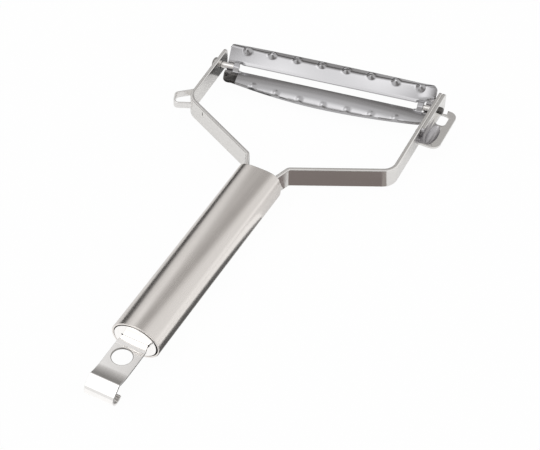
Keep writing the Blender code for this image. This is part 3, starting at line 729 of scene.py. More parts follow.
@dataclass(frozen=True)
class Handle:
    """The oval tube with the plates that close its ends.

    An end's section is a superellipse: half widths, middle (x and z) and power.
    """

    length: float = 100 * MM
    wall: float = 0.8 * MM
    rim_radius: float = 0.22 * MM
    foot_half: Point = mm(10.6, 8.2)
    foot_middle: Point = mm(0.0, 0.4)
    foot_power: float = 2.0
    head_half: Point = mm(10.1, 7.5)
    head_middle: Point = mm(0.5, 0.2)
    head_power: float = 3.2
    quarter_steps: int = 28
    rings: int = 24
    plate_thickness: float = 1.2 * MM
    plate_inset: float = 0.4 * MM
    plate_rim_steps: int = 2
    plate_rim_angle: float = 50
    cap_fit: float = 0.42 * MM
    cap_shift: Point = mm(-0.24, -0.33)
    cap_stretch: float = 1.035
    cap_inset: float = 0.05 * MM
    cap_rim_radius: float = 0.16 * MM
    rim_steps: int = 4
    slit_fit: float = 0.1 * MM
    slit_end_radius: float = 0.42 * MM

    def middle(self, at_head: bool, y: float) -> Vector:
        """Gives the middle of a section at a place along the handle."""
        x, z = self.head_middle if at_head else self.foot_middle
        return Vector((x, y, z))

    def section(self, piece: Workpiece, at_head: bool, inward: float, y: float) -> None:
        """Turns the picked square, two metres wide, into the tube's oval section.

        A corner bevel as wide as half the square is a superellipse, and its profile sets how square it stays.
        It leaves double points at the middles of the square's sides, which are merged.

        Args:
            piece: the piece whose square is picked.
            at_head: whether the section is the one at the head end.
            inward: how much smaller than the tube's outside it is.
            y: place of the section along the handle.
        """
        half, power = (self.head_half, self.head_power) if at_head else (self.foot_half, self.foot_power)
        square_half = 1.0
        piece.round_corners(square_half, self.quarter_steps, 0.5 ** (2 / power))
        bpy.ops.mesh.remove_doubles(threshold=square_half / 100)
        piece.stretch((half[0] - inward, 1, half[1] - inward), self.middle(at_head, y))

    def build_tube(self, steel: Steel) -> bpy.types.Object:
        """Bridges the two end sections into the tube and gives it a wall.

        Args:
            steel: the tube's finish.

        Returns:
            The dressed tube.
        """
        tube = sheet("handle_tube_steel", self.middle(True, 0.0), (2, 2), UPRIGHT)
        tube.pick_all()
        self.section(tube, True, 0.0, 0.0)
        tube.drop_faces()
        bpy.ops.mesh.primitive_plane_add(size=2, location=self.middle(False, -self.length), rotation=UPRIGHT)
        self.section(tube, False, 0.0, -self.length)
        tube.drop_faces()
        bpy.ops.mesh.select_mode(type=Pick.EDGES.value)
        tube.pick_all()
        bpy.ops.mesh.bridge_edge_loops(number_cuts=self.rings, interpolation="LINEAR")
        tube.close()
        tube.thicken(self.wall, -1.0)
        tube.soften(self.rim_radius, self.rim_steps)
        return tube.finish(steel, "frame", "handle_tube")

    def plate(self, name: str, at_head: bool, y: float, fit: float) -> Workpiece:
        """Makes a plate that fills an end of the tube.

        Args:
            name: name of the plate.
            at_head: whether it fills the head end.
            y: place of its outer face.
            fit: room that it leaves all round.

        Returns:
            The plate.
        """
        plate = sheet(name, self.middle(at_head, y), (2, 2), UPRIGHT)
        plate.pick_all()
        self.section(plate, at_head, self.wall + fit, y)
        plate.pull(AXIS_Y * self.plate_thickness * (-1 if at_head else 1))
        return plate.close()

    def build_end_cap(self, steel: Steel, hanger: "Hanger") -> bpy.types.Object:
        """Makes the plate in the lower end, with the slit for the hanger and its two relief holes.

        Args:
            steel: the cap's finish.
            hanger: the hanger that goes through the slit.

        Returns:
            The dressed cap.
        """
        y, height = -self.length + self.cap_inset, self.foot_middle[1]
        cap = self.plate("end_cap_steel", False, y, self.cap_fit)
        cap.open()
        cap.pick_all()
        cap.stretch((1, 1, self.cap_stretch), Vector((0, y, height)))
        cap.close()
        cap.move(Vector((self.cap_shift[0], 0, self.cap_shift[1])))
        cap.soften(self.cap_rim_radius, self.rim_steps)
        half = hanger.tongue_half_width + self.slit_fit
        size = (2 * half, 2 * CUT_REACH, hanger.thickness + 2 * self.slit_fit)
        cap.combine(slab("slit", Vector((0, y, height)), size), Cut.TAKE)
        for side in Side:
            end = Vector((side.value * half, y, height + hanger.thickness / 2))
            through = AXIS_Y * CUT_REACH
            cap.combine(rod("relief", end - through, end + through, self.slit_end_radius), Cut.TAKE)
        return cap.finish(steel, "frame", "end_cap")

    def build_neck_plate(self, steel: Steel, wishbone: Wishbone) -> bpy.types.Object:
        """Makes the plate in the head end, notched on both sides for the straps.

        Args:
            steel: the plate's finish.
            wishbone: the strap frame that goes through the notches.

        Returns:
            The dressed plate.
        """
        y = -self.plate_inset
        plate = self.plate("neck_plate_steel", True, y, GAP)
        inner = wishbone.inset_x - wishbone.thickness / 2 - GAP
        width = self.head_half[0]
        for side in Side:
            center = Vector((wishbone.middle_x + side.value * (inner + width), y, 0))
            size = (2 * width, 2 * CUT_REACH, wishbone.height + 2 * GAP)
            plate.combine(slab("notch", center, size), Cut.TAKE)
        plate.soften(self.rim_radius, self.plate_rim_steps, self.plate_rim_angle)
        return plate.finish(steel, "frame", "neck_plate")


@dataclass(frozen=True)
class Hanger:
    """The strip that comes out of the end cap, with its hanging hole and rolled hook.

    Its shoulder starts and ends at two distances from the tube. Each bend is a distance from the tube, a
    height over the slit and a radius.
    """

    thickness: float = 0.9 * MM
    half_width: float = 6.4 * MM
    tongue_half_width: float = 5.8 * MM
    tongue_depth: float = 14 * MM
    shoulder: Point = mm(1.0, 2.8)
    dip: Triple = mm(4.0, -0.45, 3)
    rise: Triple = mm(18.0, -0.45, 24)
    crease: Triple = mm(22.2, 0.6, 0.5)
    bend_steps: int = 12
    drop_angle: float = math.radians(38)
    ramp: float = 4.5 * MM
    hook_radius: float = 2.85 * MM
    hook_turn: float = math.radians(200)
    hook_steps: int = 32
    hole_radius: float = 4.1 * MM
    hole_place: Point = mm(-0.5, 9.05)
    hole_rim: float = 0.3 * MM
    rim_steps: int = 3
    edge_radius: float = 0.16 * MM
    sheared_from: float = 0.7
    sheared_least_x: float = 4.92 * MM
    top_from: float = 0.97

    def pierce(self, strip: Workpiece, axis: Vector) -> None:
        """Cuts the hanging hole and rounds its rims.

        Args:
            strip: the closed strip.
            axis: middle of the hole.
        """
        up = AXIS_Z * CUT_REACH
        strip.combine(rod("hole", axis - up, axis + up, self.hole_radius), Cut.TAKE)
        strip.open()
        strip.pick(Pick.EDGES, lambda place, along: abs((place.xy - axis.xy).length - self.hole_radius) < TINY
                   and abs(along.z) < 1 - ALONG)
        strip.round_edges(self.hole_rim, self.rim_steps)
        strip.close()

    def build(self, steel: Steel, sheared_and_shaded: Steel, hole_shade: Steel, handle: Handle) -> bpy.types.Object:
        """Draws the strip out, creases it, rolls its end and pierces it.

        Args:
            steel: the strip's finish.
            sheared_and_shaded: the darker finish of its cut sides and of the inside of the roll, painted
                shade.
            hole_shade: a dark finish on the hole's wall, painted shade.
            handle: the handle that it stands in.

        Returns:
            The dressed hanger.
        """
        foot, height = -handle.length, handle.foot_middle[1]
        length = self.tongue_depth + self.shoulder[0]
        strip = sheet("hanger_hook_steel", Vector((0, foot + self.tongue_depth - length / 2, height)),
                      (2 * self.tongue_half_width, length))
        strip.pick(Pick.EDGES, lambda place, along: place.y < foot - TINY and abs(along.x) > ALONG)
        sink = self.dip[1] * (self.shoulder[1] - self.shoulder[0]) / (self.dip[0] - self.shoulder[0])
        strip.pull(Vector((0, self.shoulder[0] - self.shoulder[1], sink)))
        strip.stretch((self.half_width / self.tongue_half_width, 1, 1), Vector((0, foot, height)))
        down = Vector((0, -math.cos(self.drop_angle), -math.sin(self.drop_angle)))
        bends = (self.dip, self.rise, self.crease)
        corners = [Vector((0, foot - away, height + lift)) for away, lift, _radius in bends]
        start = Vector((0, foot - self.shoulder[1], height + sink))
        end = corners[-1] + down * self.ramp
        strip.follow([start, *corners, end], [radius for _away, _lift, radius in bends], self.bend_steps)
        center = end + AXIS_X.cross(down) * self.hook_radius
        strip.bend(center, AXIS_X, self.hook_turn, self.hook_steps)
        strip.close()
        strip.thicken(self.thickness)
        strip.soften(self.edge_radius)
        axis = Vector((self.hole_place[0], foot - self.hole_place[1], height + self.dip[1]))
        self.pierce(strip, axis)
        strip.dress(steel)
        # The cut sides and the inside of the roll are darkened: painted shade, besides the cut-edge texture
        # on the sides.
        strip.dress(sheared_and_shaded, lambda place, normal:
                    abs(normal.x) > self.sheared_from and abs(place.x) > self.sheared_least_x
                    or place.y < corners[-1].y and (center - place).dot(normal) > 0)
        # The hole's wall gets the dark finish: painted shade in the hole.
        rim = self.hole_radius + self.hole_rim
        strip.dress(hole_shade, lambda place, normal: (place.xy - axis.xy).length < rim
                    and normal.z < self.top_from)
        return strip.finish(steel, "frame", "hanger_hook")


@dataclass(frozen=True)
class Edge:
    """An outer edge of the blade: its half width, and how far it bows in and rounds off at each end."""

    half: float
    left_bow: float
    left_corner: float
    right_bow: float
    right_corner: float

    def reach(self, u: float, left: float, right: float) -> float:
        """Gives how far the edge lies from the axis at u.

        Args:
            u: place along the axis.
            left: u of the blade's left end.
            right: u of its right end.

        Returns:
            The distance.
        """
        bow = self.left_bow * (u / left) ** 2 if u < 0 else self.right_bow * (u / right) ** 2
        at_left, at_right = corner_loss(u - left, self.left_corner), corner_loss(right - u, self.right_corner)
        return self.half - bow - at_left - at_right


@dataclass(frozen=True)
class Dimples:
    """A row of round dimples along a flange, each an oval of two half widths."""

    count: int
    middle: float
    pitch: float
    half_along: float
    half_across: float
    inset: float
    height: float
    roundness: float = 0.7

    def lift(self, u: float, from_edge: float) -> float:
        """Gives how far the row lifts the sheet.

        Args:
            u: place along the axis.
            from_edge: distance from the outer edge.

        Returns:
            The lift.
        """
        centers = [self.middle + self.pitch * (index - (self.count - 1) / 2) for index in range(self.count)]
        nearest = min(abs(u - center) for center in centers)
        out = math.hypot(nearest / self.half_along, (self.inset - from_edge) / self.half_across)
        return self.height * (1 - smooth(out)) ** self.roundness


@dataclass(frozen=True)
class Blade:
    """The slotted blade sheet with its dimples and pin bearings: u along the axis, v across it, w up.

    From each end inwards a bearing has a trough under the pin, a lance that parts it from the arch over the
    pin, and a runout.
    """

    wishbone: Wishbone
    tilt: float = math.radians(20)
    thickness: float = 0.7 * MM
    end_left: float = 2.3 * MM
    end_right: float = 0.55 * MM
    half_width: float = 11.8 * MM
    near_end_rise: float = 2.0 * MM
    far_end_rise: float = 2.9 * MM
    slot_half: float = 1.8 * MM
    fold_v: float = 8.8 * MM
    fold_blend: float = 0.35 * MM
    far_rise: float = 0.2
    far_fall: float = 0.95
    far_brim: float = 0.3
    far_edge_w: float = -0.1 * MM
    near_rise: float = 0.55
    near_fall: float = 0.5
    lip_width: float = 0.65 * MM
    lip_fall: float = 1.2
    band_least: float = 1.2 * MM
    end_zone: float = 4.8 * MM
    shaded_end_length: float = 6.4 * MM
    end_blend: float = 1.5 * MM
    near_left_drop: float = 0.42
    far_right_zone: float = 7.5 * MM
    far_right_lift: float = 36.0
    trough: float = 3.0 * MM
    lance: float = 0.5 * MM
    arch: float = 2.6 * MM
    runout: float = 1.4 * MM
    bearing_flat: float = 0.9 * MM
    bearing_half: float = 3.1 * MM
    pin_radius: float = 1.45 * MM
    far_edge: Edge = Edge(*mm(11.8, 1.9, 1.4, 1.9, 4.0))
    near_edge: Edge = Edge(*mm(11.3, 3.2, 3.0, 2.0, 3.0))
    far_dimples: Dimples = Dimples(8, *mm(1.3, 11.35, 2.0, 2.1, 2.3, 1.2))
    near_dimples: Dimples = Dimples(7, *mm(1.0, 10.85, 1.5, 1.7, 1.4, 0.5))
    cell: float = 0.34 * MM
    ground_edge: float = 0.28 * MM
    edge_radius: float = 0.14 * MM
    edge_steps: int = 2
    edge_angle: float = 55

    def ends(self) -> Point:
        """Gives the u of the blade's left and right end."""
        inner = self.wishbone.reach() - self.wishbone.thickness / 2
        return -inner + self.end_left, inner - self.end_right

    def bearing_end(self) -> float:
        """Gives how far a bearing reaches from the end of the blade, without its runout."""
        return self.trough + self.lance + self.arch

    def row(self, v: float, edge: float) -> float:
        """Gives where a row of the sheet lies once the edge is drawn in; the fold gives way near a corner.

        Args:
            v: the row in the plain rectangle.
            edge: how far the outer edge lies from the axis there.

        Returns:
            The new v of the row.
        """
        across = abs(v)
        if across <= self.bearing_half + TINY:
            return v
        fold = min(self.fold_v, edge - self.band_least)
        if across <= self.fold_v:
            share = (across - self.bearing_half) / (self.fold_v - self.bearing_half)
            placed = self.bearing_half + (fold - self.bearing_half) * share
        else:
            placed = fold + (edge - fold) * (across - self.fold_v) / (self.half_width - self.fold_v)
        return math.copysign(placed, v)

    def profile(self, v: float, edge: float) -> float:
        """Gives the height of the plain section: far side flat up to a fold, near side a curve with a lip.

        Args:
            v: place across the axis.
            edge: how far the outer edge lies from the axis.

        Returns:
            The height.
        """
        out = max(0.0, abs(v) - self.slot_half)
        if v < 0:
            full = self.half_width - self.slot_half
            curve = self.near_rise * out - (self.near_rise + self.near_fall) * out ** 2 / (2 * full)
            return curve - self.lip_fall * max(0.0, abs(v) - edge + self.lip_width)
        rising = self.far_rise * out
        crest = self.far_rise * (self.fold_v - self.slot_half)
        falling = max(crest - self.far_fall * (v - self.fold_v),
                      self.far_edge_w + self.far_brim * (self.half_width - v))
        return lower(rising, falling, self.fold_blend)

    def height(self, u: float, v: float, edge: float) -> float:
        """Gives the height of the sheet.

        Args:
            u: place along the axis.
            v: place across it.
            edge: how far the outer edge lies from the axis there.

        Returns:
            The height.
        """
        left, right = self.ends()
        across = abs(v)
        height = self.profile(v, edge)
        off_bearing = smooth((across - self.bearing_half) / self.end_blend)
        if v < 0:
            height -= self.near_left_drop * max(0.0, self.end_zone - (u - left)) * off_bearing
        else:
            height += self.far_right_lift * max(0.0, self.far_right_zone - (right - u)) ** 2 * off_bearing
        reach = max(0.0, across - self.bearing_half) / (self.half_width - self.bearing_half)
        height += (self.near_end_rise if v < 0 else self.far_end_rise) * reach * (u / right) ** 2
        height += (self.far_dimples if v > 0 else self.near_dimples).lift(u, edge - across)
        offset = self.pin_radius + GAP + self.thickness / 2
        saddle = 1 - smooth((across - self.bearing_flat) / (self.bearing_half - self.bearing_flat))
        from_end = min(u - left, right - u)
        if from_end <= self.trough + self.lance / 2:
            return height - offset * saddle
        return height + offset * saddle * (1 - smooth((from_end - self.bearing_end()) / self.runout))

    def mark_out(self, blank: Workpiece) -> None:
        """Cuts the blank's guide lines, fills it with an even grid and opens the slot and the lances.

        Args:
            blank: the plain rectangle.
        """
        left, right = self.ends()
        marks = [0.0, self.trough, self.trough + self.lance, self.bearing_end(),
                 self.bearing_end() + self.runout]
        lines_u = [left + mark for mark in marks] + [right - mark for mark in reversed(marks)]
        rows = [self.slot_half, self.bearing_half, self.fold_v, self.half_width]
        lines_v = [-row for row in reversed(rows)] + [0.0] + rows
        for u in lines_u[1:-1]:
            blank.slice(Vector((u, 0, 0)), AXIS_X)
        for v in lines_v[1:-1]:
            blank.slice(Vector((0, v, 0)), AXIS_Y)
        for lines, axis in ((lines_u, 0), (lines_v, 1)):
            for low, high in zip(lines, lines[1:]):
                blank.pick(Pick.EDGES, lambda place, along: low < place[axis] < high
                           and abs(along[axis]) > ALONG)
                bpy.ops.mesh.subdivide(number_cuts=max(1, round((high - low) / self.cell) - 1))
        blank.pick(Pick.FACES, lambda place, normal: self.is_open(place))
        bpy.ops.mesh.delete(type="FACE")

    def is_open(self, place: Vector) -> bool:
        """Tells whether a place of the blank lies in the slot or in a lance.

        Args:
            place: the place.

        Returns:
            Whether the sheet is cut away there.
        """
        left, right = self.ends()
        from_end = min(place.x - left, right - place.x)
        if from_end > self.bearing_end():
            return abs(place.y) < self.slot_half
        return self.trough < from_end < self.trough + self.lance and abs(place.y) < self.bearing_half

    def stamp(self, blank: Workpiece) -> None:
        """Draws the edges in, presses the section and sets the right end along its arm.

        Args:
            blank: the marked sheet.
        """
        ends = self.ends()

        def edge(at: Vector) -> float:
            """Gives how far the outer edge lies from the axis beside a point."""
            return (self.far_edge if at.y > 0 else self.near_edge).reach(at.x, *ends)

        blank.press("Y", lambda at: self.row(at.y, edge(at)) - at.y)
        blank.press("Z", lambda at: self.height(at.x, at.y, edge(at)))
        upward = self.wishbone.upward(Side.RIGHT)
        lean = math.tan(self.wishbone.slant() - math.atan2(-upward.x, upward.y))
        blank.press("X", lambda at: lean * at.y * max(0.0, 1 - (ends[1] - at.x) / self.bearing_end()))

    def build(self, steel: Steel, end_shade: Steel) -> bpy.types.Object:
        """Stamps the sheet, thickens it, grinds its edges and sets it on its slanted axis.

        Args:
            steel: the blade's finish.
            end_shade: the dark finish of the near flange's left end, painted shade.

        Returns:
            The dressed blade.
        """
        left, right = self.ends()
        blade = sheet("blade_steel", Vector(((left + right) / 2, 0, 0)), (right - left, 2 * self.half_width))
        self.mark_out(blade)
        blade.close()
        self.stamp(blade)
        blade.thicken(self.thickness)
        blade.open()
        low, high = left + self.bearing_end(), right - self.bearing_end()
        blade.pick(Pick.EDGES, lambda place, along: abs(place.y + self.slot_half) < self.cell / 2
                   and abs(along.x) > ALONG and place.z > 0 and low < place.x < high)
        blade.round_edges(self.ground_edge, 1)
        blade.close()
        blade.soften(self.edge_radius, self.edge_steps, self.edge_angle)
        blade.dress(steel)
        # The near flange's left end is painted dark: painted shade.
        blade.dress(end_shade, lambda place, normal: place.x < left + self.shaded_end_length
                    and place.y < -self.bearing_half)
        blade.move(Vector(), Euler((self.tilt, 0, 0)))
        blade.move(self.wishbone.center(), Euler((0, 0, self.wishbone.slant())))
        return blade.finish(steel, "blade", "blade")


@dataclass(frozen=True)
class PivotPin:
    """A pin along the blade's axis with a domed head that lies against the arm or what covers it."""

    wishbone: Wishbone
    blade: Blade
    side: Side
    node: str
    outer_layers: float = 0.0
    head_radius: float = 2.6 * MM
    head_height: float = 2.5 * MM
    head_sides: int = 72
    dome_radius: float = 1.2 * MM
    dome_steps: int = 10
    end_inset: float = 0.6 * MM
    end_radius: float = 0.25 * MM
    end_steps: int = 4

    def build(self, steel: Steel, head: Steel) -> bpy.types.Object:
        """Domes the head and draws the shank out of it along the blade's axis.

        Args:
            steel: the shank's finish.
            head: the head's finish.

        Returns:
            The dressed pin.
        """
        wishbone, blade = self.wishbone, self.blade
        outward, along = wishbone.outward(self.side), wishbone.pin_way(self.side)
        lift = (wishbone.thickness / 2 + self.outer_layers + TINY) / along.dot(outward)
        seat = wishbone.axis_point(self.side.value * wishbone.reach()) + along * lift
        pin = Workpiece(self.node + "_steel", bpy.ops.mesh.primitive_cylinder_add,
                        seat + outward * self.head_height / 2, outward.to_track_quat("Z", "Y").to_euler(),
                        vertices=self.head_sides, radius=self.head_radius, depth=self.head_height)
        pin.pick(Pick.FACES, lambda place, normal: normal.dot(outward) > ALONG)
        bpy.ops.mesh.region_to_loop()
        pin.round_edges(self.dome_radius, self.dome_steps)
        pin.pick(Pick.FACES, lambda place, normal: normal.dot(outward) < -ALONG)
        bpy.ops.mesh.inset(thickness=self.head_radius - blade.pin_radius, depth=0)
        left, right = blade.ends()
        inner = left if self.side is Side.LEFT else right
        inner -= self.side.value * (blade.bearing_end() - self.end_inset)
        pin.pull(wishbone.axis_point(inner) - seat)
        bpy.ops.mesh.region_to_loop()
        pin.round_edges(self.end_radius, self.end_steps)
        pin.close()
        pin.dress(steel)
        pin.dress(head, lambda place, normal: (place - seat).dot(outward) > TINY)
        return pin.finish(steel, "frame", self.node)


@dataclass(frozen=True)
class EyeLoop:
    """The thin strip loop on the left shoulder, its corner points measured from the shoulder's corner."""

    wishbone: Wishbone
    thickness: float = 0.8 * MM
    height: float = 3.1 * MM
    bend: float = 1.8 * MM
    bend_steps: int = 12
    start_length: float = 1.2 * MM
    edge_radius: float = 0.18 * MM
    pocket_reach: float = 8 * MM
    points: tuple[Point, ...] = (mm(-0.5, 9.6), mm(-8.5, 2.3), mm(-6.0, -3.7), mm(1.1, -0.2))

    def corners(self) -> list[Vector]:
        """Gives the corner points of the loop's centre line."""
        return [self.wishbone.shoulder(Side.LEFT) + flat(point) for point in self.points]

    def pockets(self) -> list[Workpiece]:
        """Makes the two cutters for the strap's pockets.

        Returns:
            The cutters.
        """
        corners = self.corners()
        cutters = []
        for root, outer in ((corners[0], corners[1]), (corners[3], corners[2])):
            inward = (root - outer).normalized()
            center = root + inward * (GAP - self.pocket_reach / 2)
            size = (self.pocket_reach, self.thickness + 2 * GAP, self.height + 2 * GAP)
            cutters.append(slab("pocket", center, size, math.atan2(inward.y, inward.x)))
        return cutters

    def build(self, steel: Steel) -> bpy.types.Object:
        """Bends the strip round the loop, both ways from the middle of its outer run.

        Args:
            steel: the loop's finish.

        Returns:
            The dressed loop.
        """
        corners = self.corners()
        middle = (corners[1] + corners[2]) / 2
        run = (corners[2] - corners[1]).normalized()
        loop = sheet("eye_loop_steel", middle, (self.start_length, self.height), facing(run, AXIS_Z))
        for order, sign in (((2, 3), 1), ((1, 0), -1)):
            start = middle + run * sign * self.start_length / 2
            loop.pick(Pick.EDGES, lambda place, along: (place - start).length < TINY)
            loop.follow([start, *(corners[index] for index in order)], [self.bend], self.bend_steps)
        loop.close()
        loop.thicken(self.thickness)
        loop.soften(self.edge_radius)
        return loop.finish(steel, "frame", "eye_loop")


@dataclass(frozen=True)
class EyeScoop:
    """The plate on the right arm with its pierced, dished shelf: x away from the arm, y down from the tip.

    A shadow lug is the middle and the length of a lug below the plate; the lugs are painted near black as the
    shadow in the gap between shelf and strap.
    """

    wishbone: Wishbone
    blade: Blade
    plate_thickness: float = 1.5 * MM
    plate_length: float = 26.5 * MM
    plate_corner: float = 1.2 * MM
    edge_radius: float = 0.22 * MM
    thickness: float = 1.0 * MM
    reach: float = 8.2 * MM
    length: float = 24.7 * MM
    top: float = 5.8 * MM
    corner: float = 3.6 * MM
    shelf_corner_steps: int = 16
    shelf_angle: float = 60
    corner_steps: int = 10
    bowl_depth: float = 1.9 * MM
    bowl_y: float = 17.35 * MM
    bowl_half: Point = mm(2.8, 6.9)
    bowl_inset: float = 0.2 * MM
    bowl_power: float = 0.85
    bowl_sides: int = 72
    bowl_rings: int = 14
    bowl_shade_reach: float = 0.96
    hole: Point = mm(4.7, 7.0)
    hole_center: Point = mm(3.2, 6.7)
    hole_corner: float = 1.8 * MM
    tab_height: float = 5.0 * MM
    tab_proud: float = 0.3 * MM
    seat_gap: float = 0.03 * MM
    pin_reach: float = 6 * MM
    head_room: float = 1.95 * MM
    room_depth: float = 1.75 * MM
    shadow_lugs: tuple[Point, ...] = (mm(27.5, 1.1), mm(29.4, 0.8))
    shadow_lug_depth: float = 0.8 * MM
    lug_shadow_share: float = 0.62

    def place(self) -> tuple[Vector, Euler]:
        """Gives the origin and the turn of the plate's own axes.

        Returns:
            The origin and the turn.
        """
        out = self.wishbone.outward(Side.RIGHT)
        origin = self.wishbone.tip(Side.RIGHT) + out * (self.wishbone.thickness / 2 + self.seat_gap)
        return origin, Euler((math.pi, 0, math.atan2(out.y, out.x)))

    def tab_room(self) -> Workpiece:
        """Makes the cutter for the strap's slot.

        Returns:
            The cutter.
        """
        out = self.wishbone.outward(Side.RIGHT)
        down = self.plate_length - self.plate_thickness / 2
        center = self.wishbone.tip(Side.RIGHT) - self.wishbone.upward(Side.RIGHT) * down
        size = (2 * CUT_REACH, self.plate_thickness + 2 * GAP, self.tab_height + 2 * GAP)
        return slab("slot", center, size, math.atan2(out.y, out.x))

    def build_plate(self) -> Workpiece:
        """Makes the upright plate with its rounded corners and its tab.

        Returns:
            The plate in its own axes.
        """
        plate = sheet("eye_scoop_steel", Vector((0, self.plate_length / 2, 0)),
                      (self.plate_length, self.wishbone.height), facing(AXIS_Y, AXIS_Z))
        for at_foot, radius in ((False, self.wishbone.tip_radius), (True, self.plate_corner)):
            plate.pick(Pick.VERTS, lambda place, normal: abs(place.y - self.plate_length * at_foot) < TINY)
            plate.round_corners(radius, self.corner_steps)
        plate.pick_all()
        plate.pull(AXIS_X * self.plate_thickness)
        plate.close()
        plate.soften(self.edge_radius)
        depth = self.wishbone.thickness + 2 * GAP + self.tab_proud
        center = Vector(((self.tab_proud - depth) / 2, self.plate_length - self.plate_thickness / 2, 0))
        plate.combine(slab("tab", center, (depth, self.plate_thickness, self.tab_height)), Cut.JOIN)
        return plate

    def outline_shelf(self) -> Workpiece:
        """Draws the shelf's outline, its hole and the bowl's rim, and fills what lies between them.

        Returns:
            The flat shelf in its own axes.
        """
        start, end = self.plate_thickness / 2, self.plate_thickness + self.reach
        middle = Vector(((start + end) / 2, self.top + self.length / 2, 0))
        shelf = sheet("shelf", middle, (end - start, self.length))
        shelf.pick(Pick.VERTS, lambda place, normal: place.x > middle.x)
        shelf.round_corners(self.corner, self.shelf_corner_steps)
        shelf.pick_all()
        shelf.drop_faces()
        hole = Vector((self.plate_thickness + self.hole_center[0], self.top + self.hole_center[1], 0))
        bpy.ops.mesh.primitive_plane_add(size=2, location=hole)
        shelf.stretch((self.hole[0] / 2, self.hole[1] / 2, 1), hole)
        shelf.round_corners(self.hole_corner, self.corner_steps)
        shelf.drop_faces()
        bpy.ops.mesh.primitive_circle_add(vertices=self.bowl_sides, radius=1, location=self.bowl_center())
        shelf.stretch((*self.bowl_half, 1), self.bowl_center())
        bpy.ops.mesh.select_mode(type=Pick.EDGES.value)
        shelf.pick_all()
        bpy.ops.mesh.fill(use_beauty=True)
        return shelf

    def build_shelf(self) -> Workpiece:
        """Sinks the bowl into the flat shelf ring by ring and gives the sheet its thickness.

        Returns:
            The shelf in its own axes.
        """
        shelf, bowl = self.outline_shelf(), self.bowl_center()
        straight_sides = 1 - math.cos(math.pi / self.bowl_sides) ** 2
        shelf.pick(Pick.EDGES, lambda place, along: 1 - straight_sides < self.rim_share(place - bowl) < 1.0)
        size = 1.0
        for ring in range(1, self.bowl_rings):
            after = math.cos(math.pi / 2 * ring / self.bowl_rings)
            drop = (1 - after ** 2) ** self.bowl_power - (1 - size ** 2) ** self.bowl_power
            shelf.pull(AXIS_Z * drop * self.bowl_depth)
            shelf.stretch((after / size, after / size, 1), bowl)
            size = after
        bpy.ops.mesh.edge_face_add()
        shelf.close()
        shelf.thicken(self.thickness)
        shelf.soften(self.edge_radius, angle=self.shelf_angle)
        return shelf

    def bowl_center(self) -> Vector:
        """Gives the middle of the bowl's rim in the plate's own axes."""
        return Vector((self.plate_thickness + self.bowl_inset + self.bowl_half[0], self.top + self.bowl_y, 0))

    def rim_share(self, offset: Vector) -> float:
        """Gives how far out a point lies from the bowl's centre, 1 at its rim."""
        return math.hypot(offset.x / self.bowl_half[0], offset.y / self.bowl_half[1])

    def own(self, place: Vector) -> Vector:
        """Gives the plate's own coordinates of a point in working coordinates."""
        origin, turn = self.place()
        return turn.to_matrix().inverted() @ (place - origin)

    def in_bowl(self, own: Vector) -> bool:
        """Tells whether a point lies over the bowl or between it and the arm.

        Args:
            own: the point in the plate's own axes.

        Returns:
            Whether it has the bowl's rough pressed finish, whose darker colour is painted shade in the dish.
        """
        offset = own - self.bowl_center()
        beside = TINY < own.x < self.bowl_center().x and abs(offset.y) < self.bowl_half[1]
        return beside or self.rim_share(offset) < self.bowl_shade_reach

    def in_lug_shadow(self, own: Vector) -> bool:
        """Tells whether a point in the plate's own axes lies on the painted shadow of the lugs below the
        plate.
        """
        return own.y > self.plate_length + TINY and own.x < self.shadow_lug_depth * self.lug_shadow_share

    def build(self, steel: Steel, lug_shadow: Steel, bowl: Steel) -> bpy.types.Object:
        """Joins plate and shelf, cuts the pin's hole and the room for its head, and sets them on the arm.

        Args:
            steel: the scoop's finish.
            lug_shadow: the near black finish of the lugs, painted shadow.
            bowl: the bowl's rough pressed finish, whose darker colour is painted shade.

        Returns:
            The dressed scoop.
        """
        wishbone, scoop = self.wishbone, self.build_plate()
        scoop.combine(self.build_shelf(), Cut.JOIN)
        # The lugs are dark pieces that stand in for the shadow in the gap between shelf and strap.
        depth = self.shadow_lug_depth
        for middle, length in self.shadow_lugs:
            lug = slab("lug_shadow", Vector((depth / 2, middle, -depth / 4)), (depth, length, depth))
            scoop.combine(lug, Cut.JOIN)
        scoop.move(*self.place())
        crossing, out = wishbone.pivot(Side.RIGHT), wishbone.outward(Side.RIGHT)
        inside = crossing + wishbone.pin_way(Side.RIGHT) * self.pin_reach
        scoop.combine(rod("hole", crossing, inside, self.blade.pin_radius + GAP), Cut.TAKE)
        seat = crossing + out * (wishbone.thickness / 2 + self.seat_gap + self.plate_thickness)
        scoop.combine(rod("room", seat, seat + out * self.room_depth, self.head_room), Cut.TAKE)
        scoop.dress(steel)
        scoop.dress(lug_shadow, lambda place, normal: self.in_lug_shadow(self.own(place)))
        scoop.dress(bowl, lambda place, normal: self.in_bowl(self.own(place)))
        return scoop.finish(steel, "frame", "eye_scoop")


@dataclass(frozen=True)
class Patch:
    """A soft rectangle of the studio's surround, seen from the object."""

    direction: Triple
    half: Point
    level: float
    softness: float = 0.08
    upright_softness: Optional[float] = None
    horizon: Point = (0.0, 0.1)

    def paint(self, tree: Tree, direction: bpy.types.NodeSocket, level: Number) -> Value:
        """Lays the patch over the surround.

        Args:
            tree: the world's tree.
            direction: the direction that is looked in.
            level: brightness so far.

        Returns:
            The brightness with the patch in it.
        """
        ahead = Vector(self.direction).normalized()
        across = AXIS_Z.cross(ahead).normalized()
        rising = self.softness if self.upright_softness is None else self.upright_softness
        mask = tree.dot(direction, ahead).within(*self.horizon)
        sides = ((across, self.half[0], self.softness), (ahead.cross(across), self.half[1], rising))
        for axis, half, soft in sides:
            distance = tree.dot(direction, axis).size()
            mask = (1 - distance.within(half - soft, half + soft)) * mask
        return mask * (self.level - level) + level


